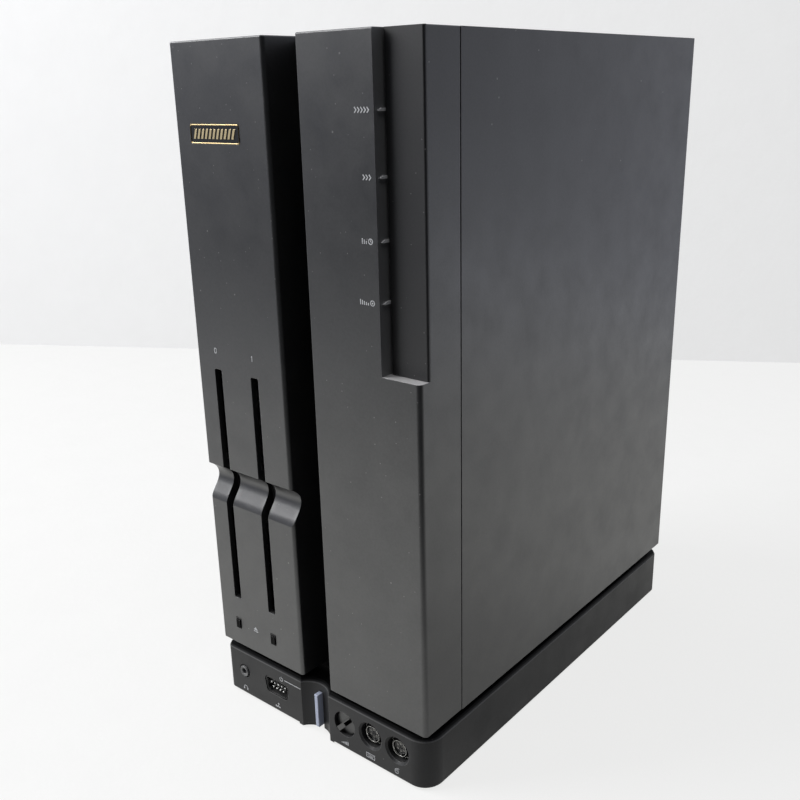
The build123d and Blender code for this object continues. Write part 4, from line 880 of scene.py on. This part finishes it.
# Painted reflection: how bright the floor looks in gloss, with painted shade near the object: place along
# MIRROR_AXIS, level.
FLOOR_PAINTED_REFLECTION = ((-1250, 1.0), (-1000, 0.97), (-674, 0.79), (-315, 0.79), (-210, 0.76), (-150, 0.66),
                  (-100, 0.50), (0, 0.45), (60, 0.72), (114, 0.88), (180, 0.98), (260, 1.0), (585, 1.0),
                  (740, 0.92), (890, 0.73), (1040, 0.50), (1210, 0.28), (1300, 0.22))
# The painted reflection turns bluish far out along MIRROR_AXIS.
BLUE_FROM, BLUE_TO = 600, 1100         # where along it the glow turns bluish


def stage_sheet(name, corners, material):
    mesh = bpy.data.meshes.new(name)
    mesh.from_pydata([Vector(c) * MM for c in corners], [], [tuple(range(len(corners)))])
    mesh.materials.append(material)
    sheet = bpy.data.objects.new(name, mesh)
    bpy.context.scene.collection.objects.link(sheet)
    return sheet


def lit_paper(name, colour, lift, shaded, painted_reflection):
    """Matt paper. lift is the paleness that the camera and gloss see without more light on the object.
    shaded is a (direction, start, end, albedo, share of the glow left) along which painted shade turns the
    paper grey. painted_reflection holds (place, level) pairs along MIRROR_AXIS: the glow that gloss sees,
    a painted reflection with painted shade near the object."""
    material, tree, bsdf = shader_tree(name)
    cloud = remap(tree, noise(tree, 40, 6.0, 0.65), 0.3, 0.7)
    tone = mix_colour(tree, cloud, shade(colour, 0.93), colour)
    path = add_node(tree, "ShaderNodeLightPath").outputs
    gloss = maths(tree, "MAXIMUM", path["Is Glossy Ray"], path["Is Transmission Ray"])
    direction, start, end, grey_level, glow_left = shaded
    fade = remap(tree, along_axis(tree, direction), start * MM, end * MM)
    tone = mix_colour(tree, fade, tone, grey(grey_level))
    reach = STAGE_REACH * MM
    place = remap(tree, along_axis(tree, MIRROR_AXIS), -reach, reach)
    ramp = add_node(tree, "ShaderNodeValToRGB", {"Fac": place})
    stops = ramp.color_ramp.elements
    for step, (spot, level) in enumerate(painted_reflection):
        stop = stops[step] if step < 2 else stops.new(1.0)
        stop.position = (spot + STAGE_REACH) / (2 * STAGE_REACH)
        blueness = min(1.0, max(0.0, (abs(spot) - BLUE_FROM) / (BLUE_TO - BLUE_FROM)))
        stop.color = grey(level, (1.0 - 0.05 * blueness, 1.0 - 0.02 * blueness, 0.97 + 0.12 * blueness))
    glow = mix_colour(tree, gloss, grey(lift, PAPER_WHITE), ramp.outputs["Color"])
    strength = maths(tree, "MULTIPLY", maths(tree, "MAXIMUM", gloss, path["Is Camera Ray"]),
                     remap(tree, fade, 0, 1, 1, glow_left))
    tree.links.new(tone, bsdf.inputs["Base Color"])
    tree.links.new(glow, bsdf.inputs["Emission Color"])
    tree.links.new(strength, bsdf.inputs["Emission Strength"])
    tree.links.new(bump(tree, noise(tree, 25, 5.0, 0.6), 1.2, 0.6), bsdf.inputs["Normal"])
    bsdf.inputs["Roughness"].default_value = 0.9
    bsdf.inputs["Specular IOR Level"].default_value = 0.1
    return material


def stage():
    reach = STAGE_REACH
    along = Vector((cos(radians(WALL_AZIMUTH)), sin(radians(WALL_AZIMUTH)), 0))
    out = Vector((-along.y, along.x, 0))
    foot = out * WALL_DISTANCE
    near = out * -reach
    floor = lit_paper("floor_paper", grey(0.20), FLOOR_LIFT, (CAMERA_SIDE, *FLOOR_SHADED), FLOOR_PAINTED_REFLECTION)
    stage_sheet("floor", [near - along * reach, near + along * reach, foot + along * reach,
                          foot - along * reach], floor)
    up = Vector((0, 0, WALL_HEIGHT))
    wall = lit_paper("wall_paper", (0.45, 0.455, 0.47, 1), WALL_LIFT, (along, *WALL_SHADED),
                     ((-STAGE_REACH, WALL_LIFT), (STAGE_REACH, WALL_LIFT)))
    stage_sheet("backdrop", [foot - along * reach, foot + along * reach, foot + along * reach + up,
                             foot - along * reach + up], wall)


def softbox(name, place, target, width, height, radiance):
    """A rectangular lamp that looks as bright as radiance."""
    lamp = bpy.data.lights.new(name, "AREA")
    lamp.shape = "RECTANGLE"
    lamp.size, lamp.size_y = width * MM, height * MM
    lamp.energy = radiance * pi * lamp.size * lamp.size_y
    box = bpy.data.objects.new(name, lamp)
    box.location = Vector(place) * MM
    box.rotation_euler = (Vector(target) - Vector(place)).to_track_quat("-Z", "Y").to_euler()
    bpy.context.scene.collection.objects.link(box)


ROOM_LEVEL = 0.58
DARK_LEVEL = 0.05
ROOM_FADE = (0.15, 0.50)     # from the one to the other, by how far a direction points to CAMERA_SIDE
ROOM_TINT = (0.90, 0.94, 1.08, 1)
# Lamps: place, target, width, height, radiance.
WINDOW = ((-1015, -800, 1105), (0, 0, 150), 1000, 900, 7.0)
CEILING = ((420, -350, 1560), (0, -100, 30), 380, 380, 5.0)


def room():
    """A pale room that is darker on one side."""
    world = bpy.data.worlds.new("room")
    bpy.context.scene.world = world
    world.use_nodes = True
    tree = world.node_tree
    background = tree.nodes["Background"]
    direction = add_node(tree, "ShaderNodeTexCoord").outputs["Generated"]
    along = add_node(tree, "ShaderNodeVectorMath", {0: direction, 1: CAMERA_SIDE},
                     operation="DOT_PRODUCT").outputs["Value"]
    level = remap(tree, along, *ROOM_FADE, ROOM_LEVEL, DARK_LEVEL)
    background.inputs["Color"].default_value = ROOM_TINT
    tree.links.new(level, background.inputs["Strength"])


def lights():
    softbox("window", *WINDOW)
    softbox("ceiling", *CEILING)
    room()


CAMERA_AZIMUTH = 40.015      # degrees; 0 looks along +Y
CAMERA_ELEVATION = 18.493
CAMERA_ROLL = -1.384
CAMERA_PLACE = (318.23, -434.98, 344.16)
CAMERA_LENS = 42.16          # on the default 36 mm sensor


def camera():
    azimuth, elevation, roll = (radians(a) for a in (CAMERA_AZIMUTH, CAMERA_ELEVATION, CAMERA_ROLL))
    back = Vector((sin(azimuth) * cos(elevation), -cos(azimuth) * cos(elevation), sin(elevation)))
    right = Vector((cos(azimuth), sin(azimuth), 0))
    up = back.cross(right)
    turned_right = right * cos(roll) + up * sin(roll)
    turned_up = up * cos(roll) - right * sin(roll)
    data = bpy.data.cameras.new("camera")
    data.lens = CAMERA_LENS
    data.clip_start = 0.01
    eye = bpy.data.objects.new("camera", data)
    basis = Matrix((turned_right, turned_up, back)).transposed().to_4x4()
    eye.matrix_world = Matrix.Translation(Vector(CAMERA_PLACE) * MM) @ basis
    bpy.context.scene.collection.objects.link(eye)
    bpy.context.scene.camera = eye


stage()
lights()
camera()
bpy.context.scene.view_settings.view_transform = "Standard"
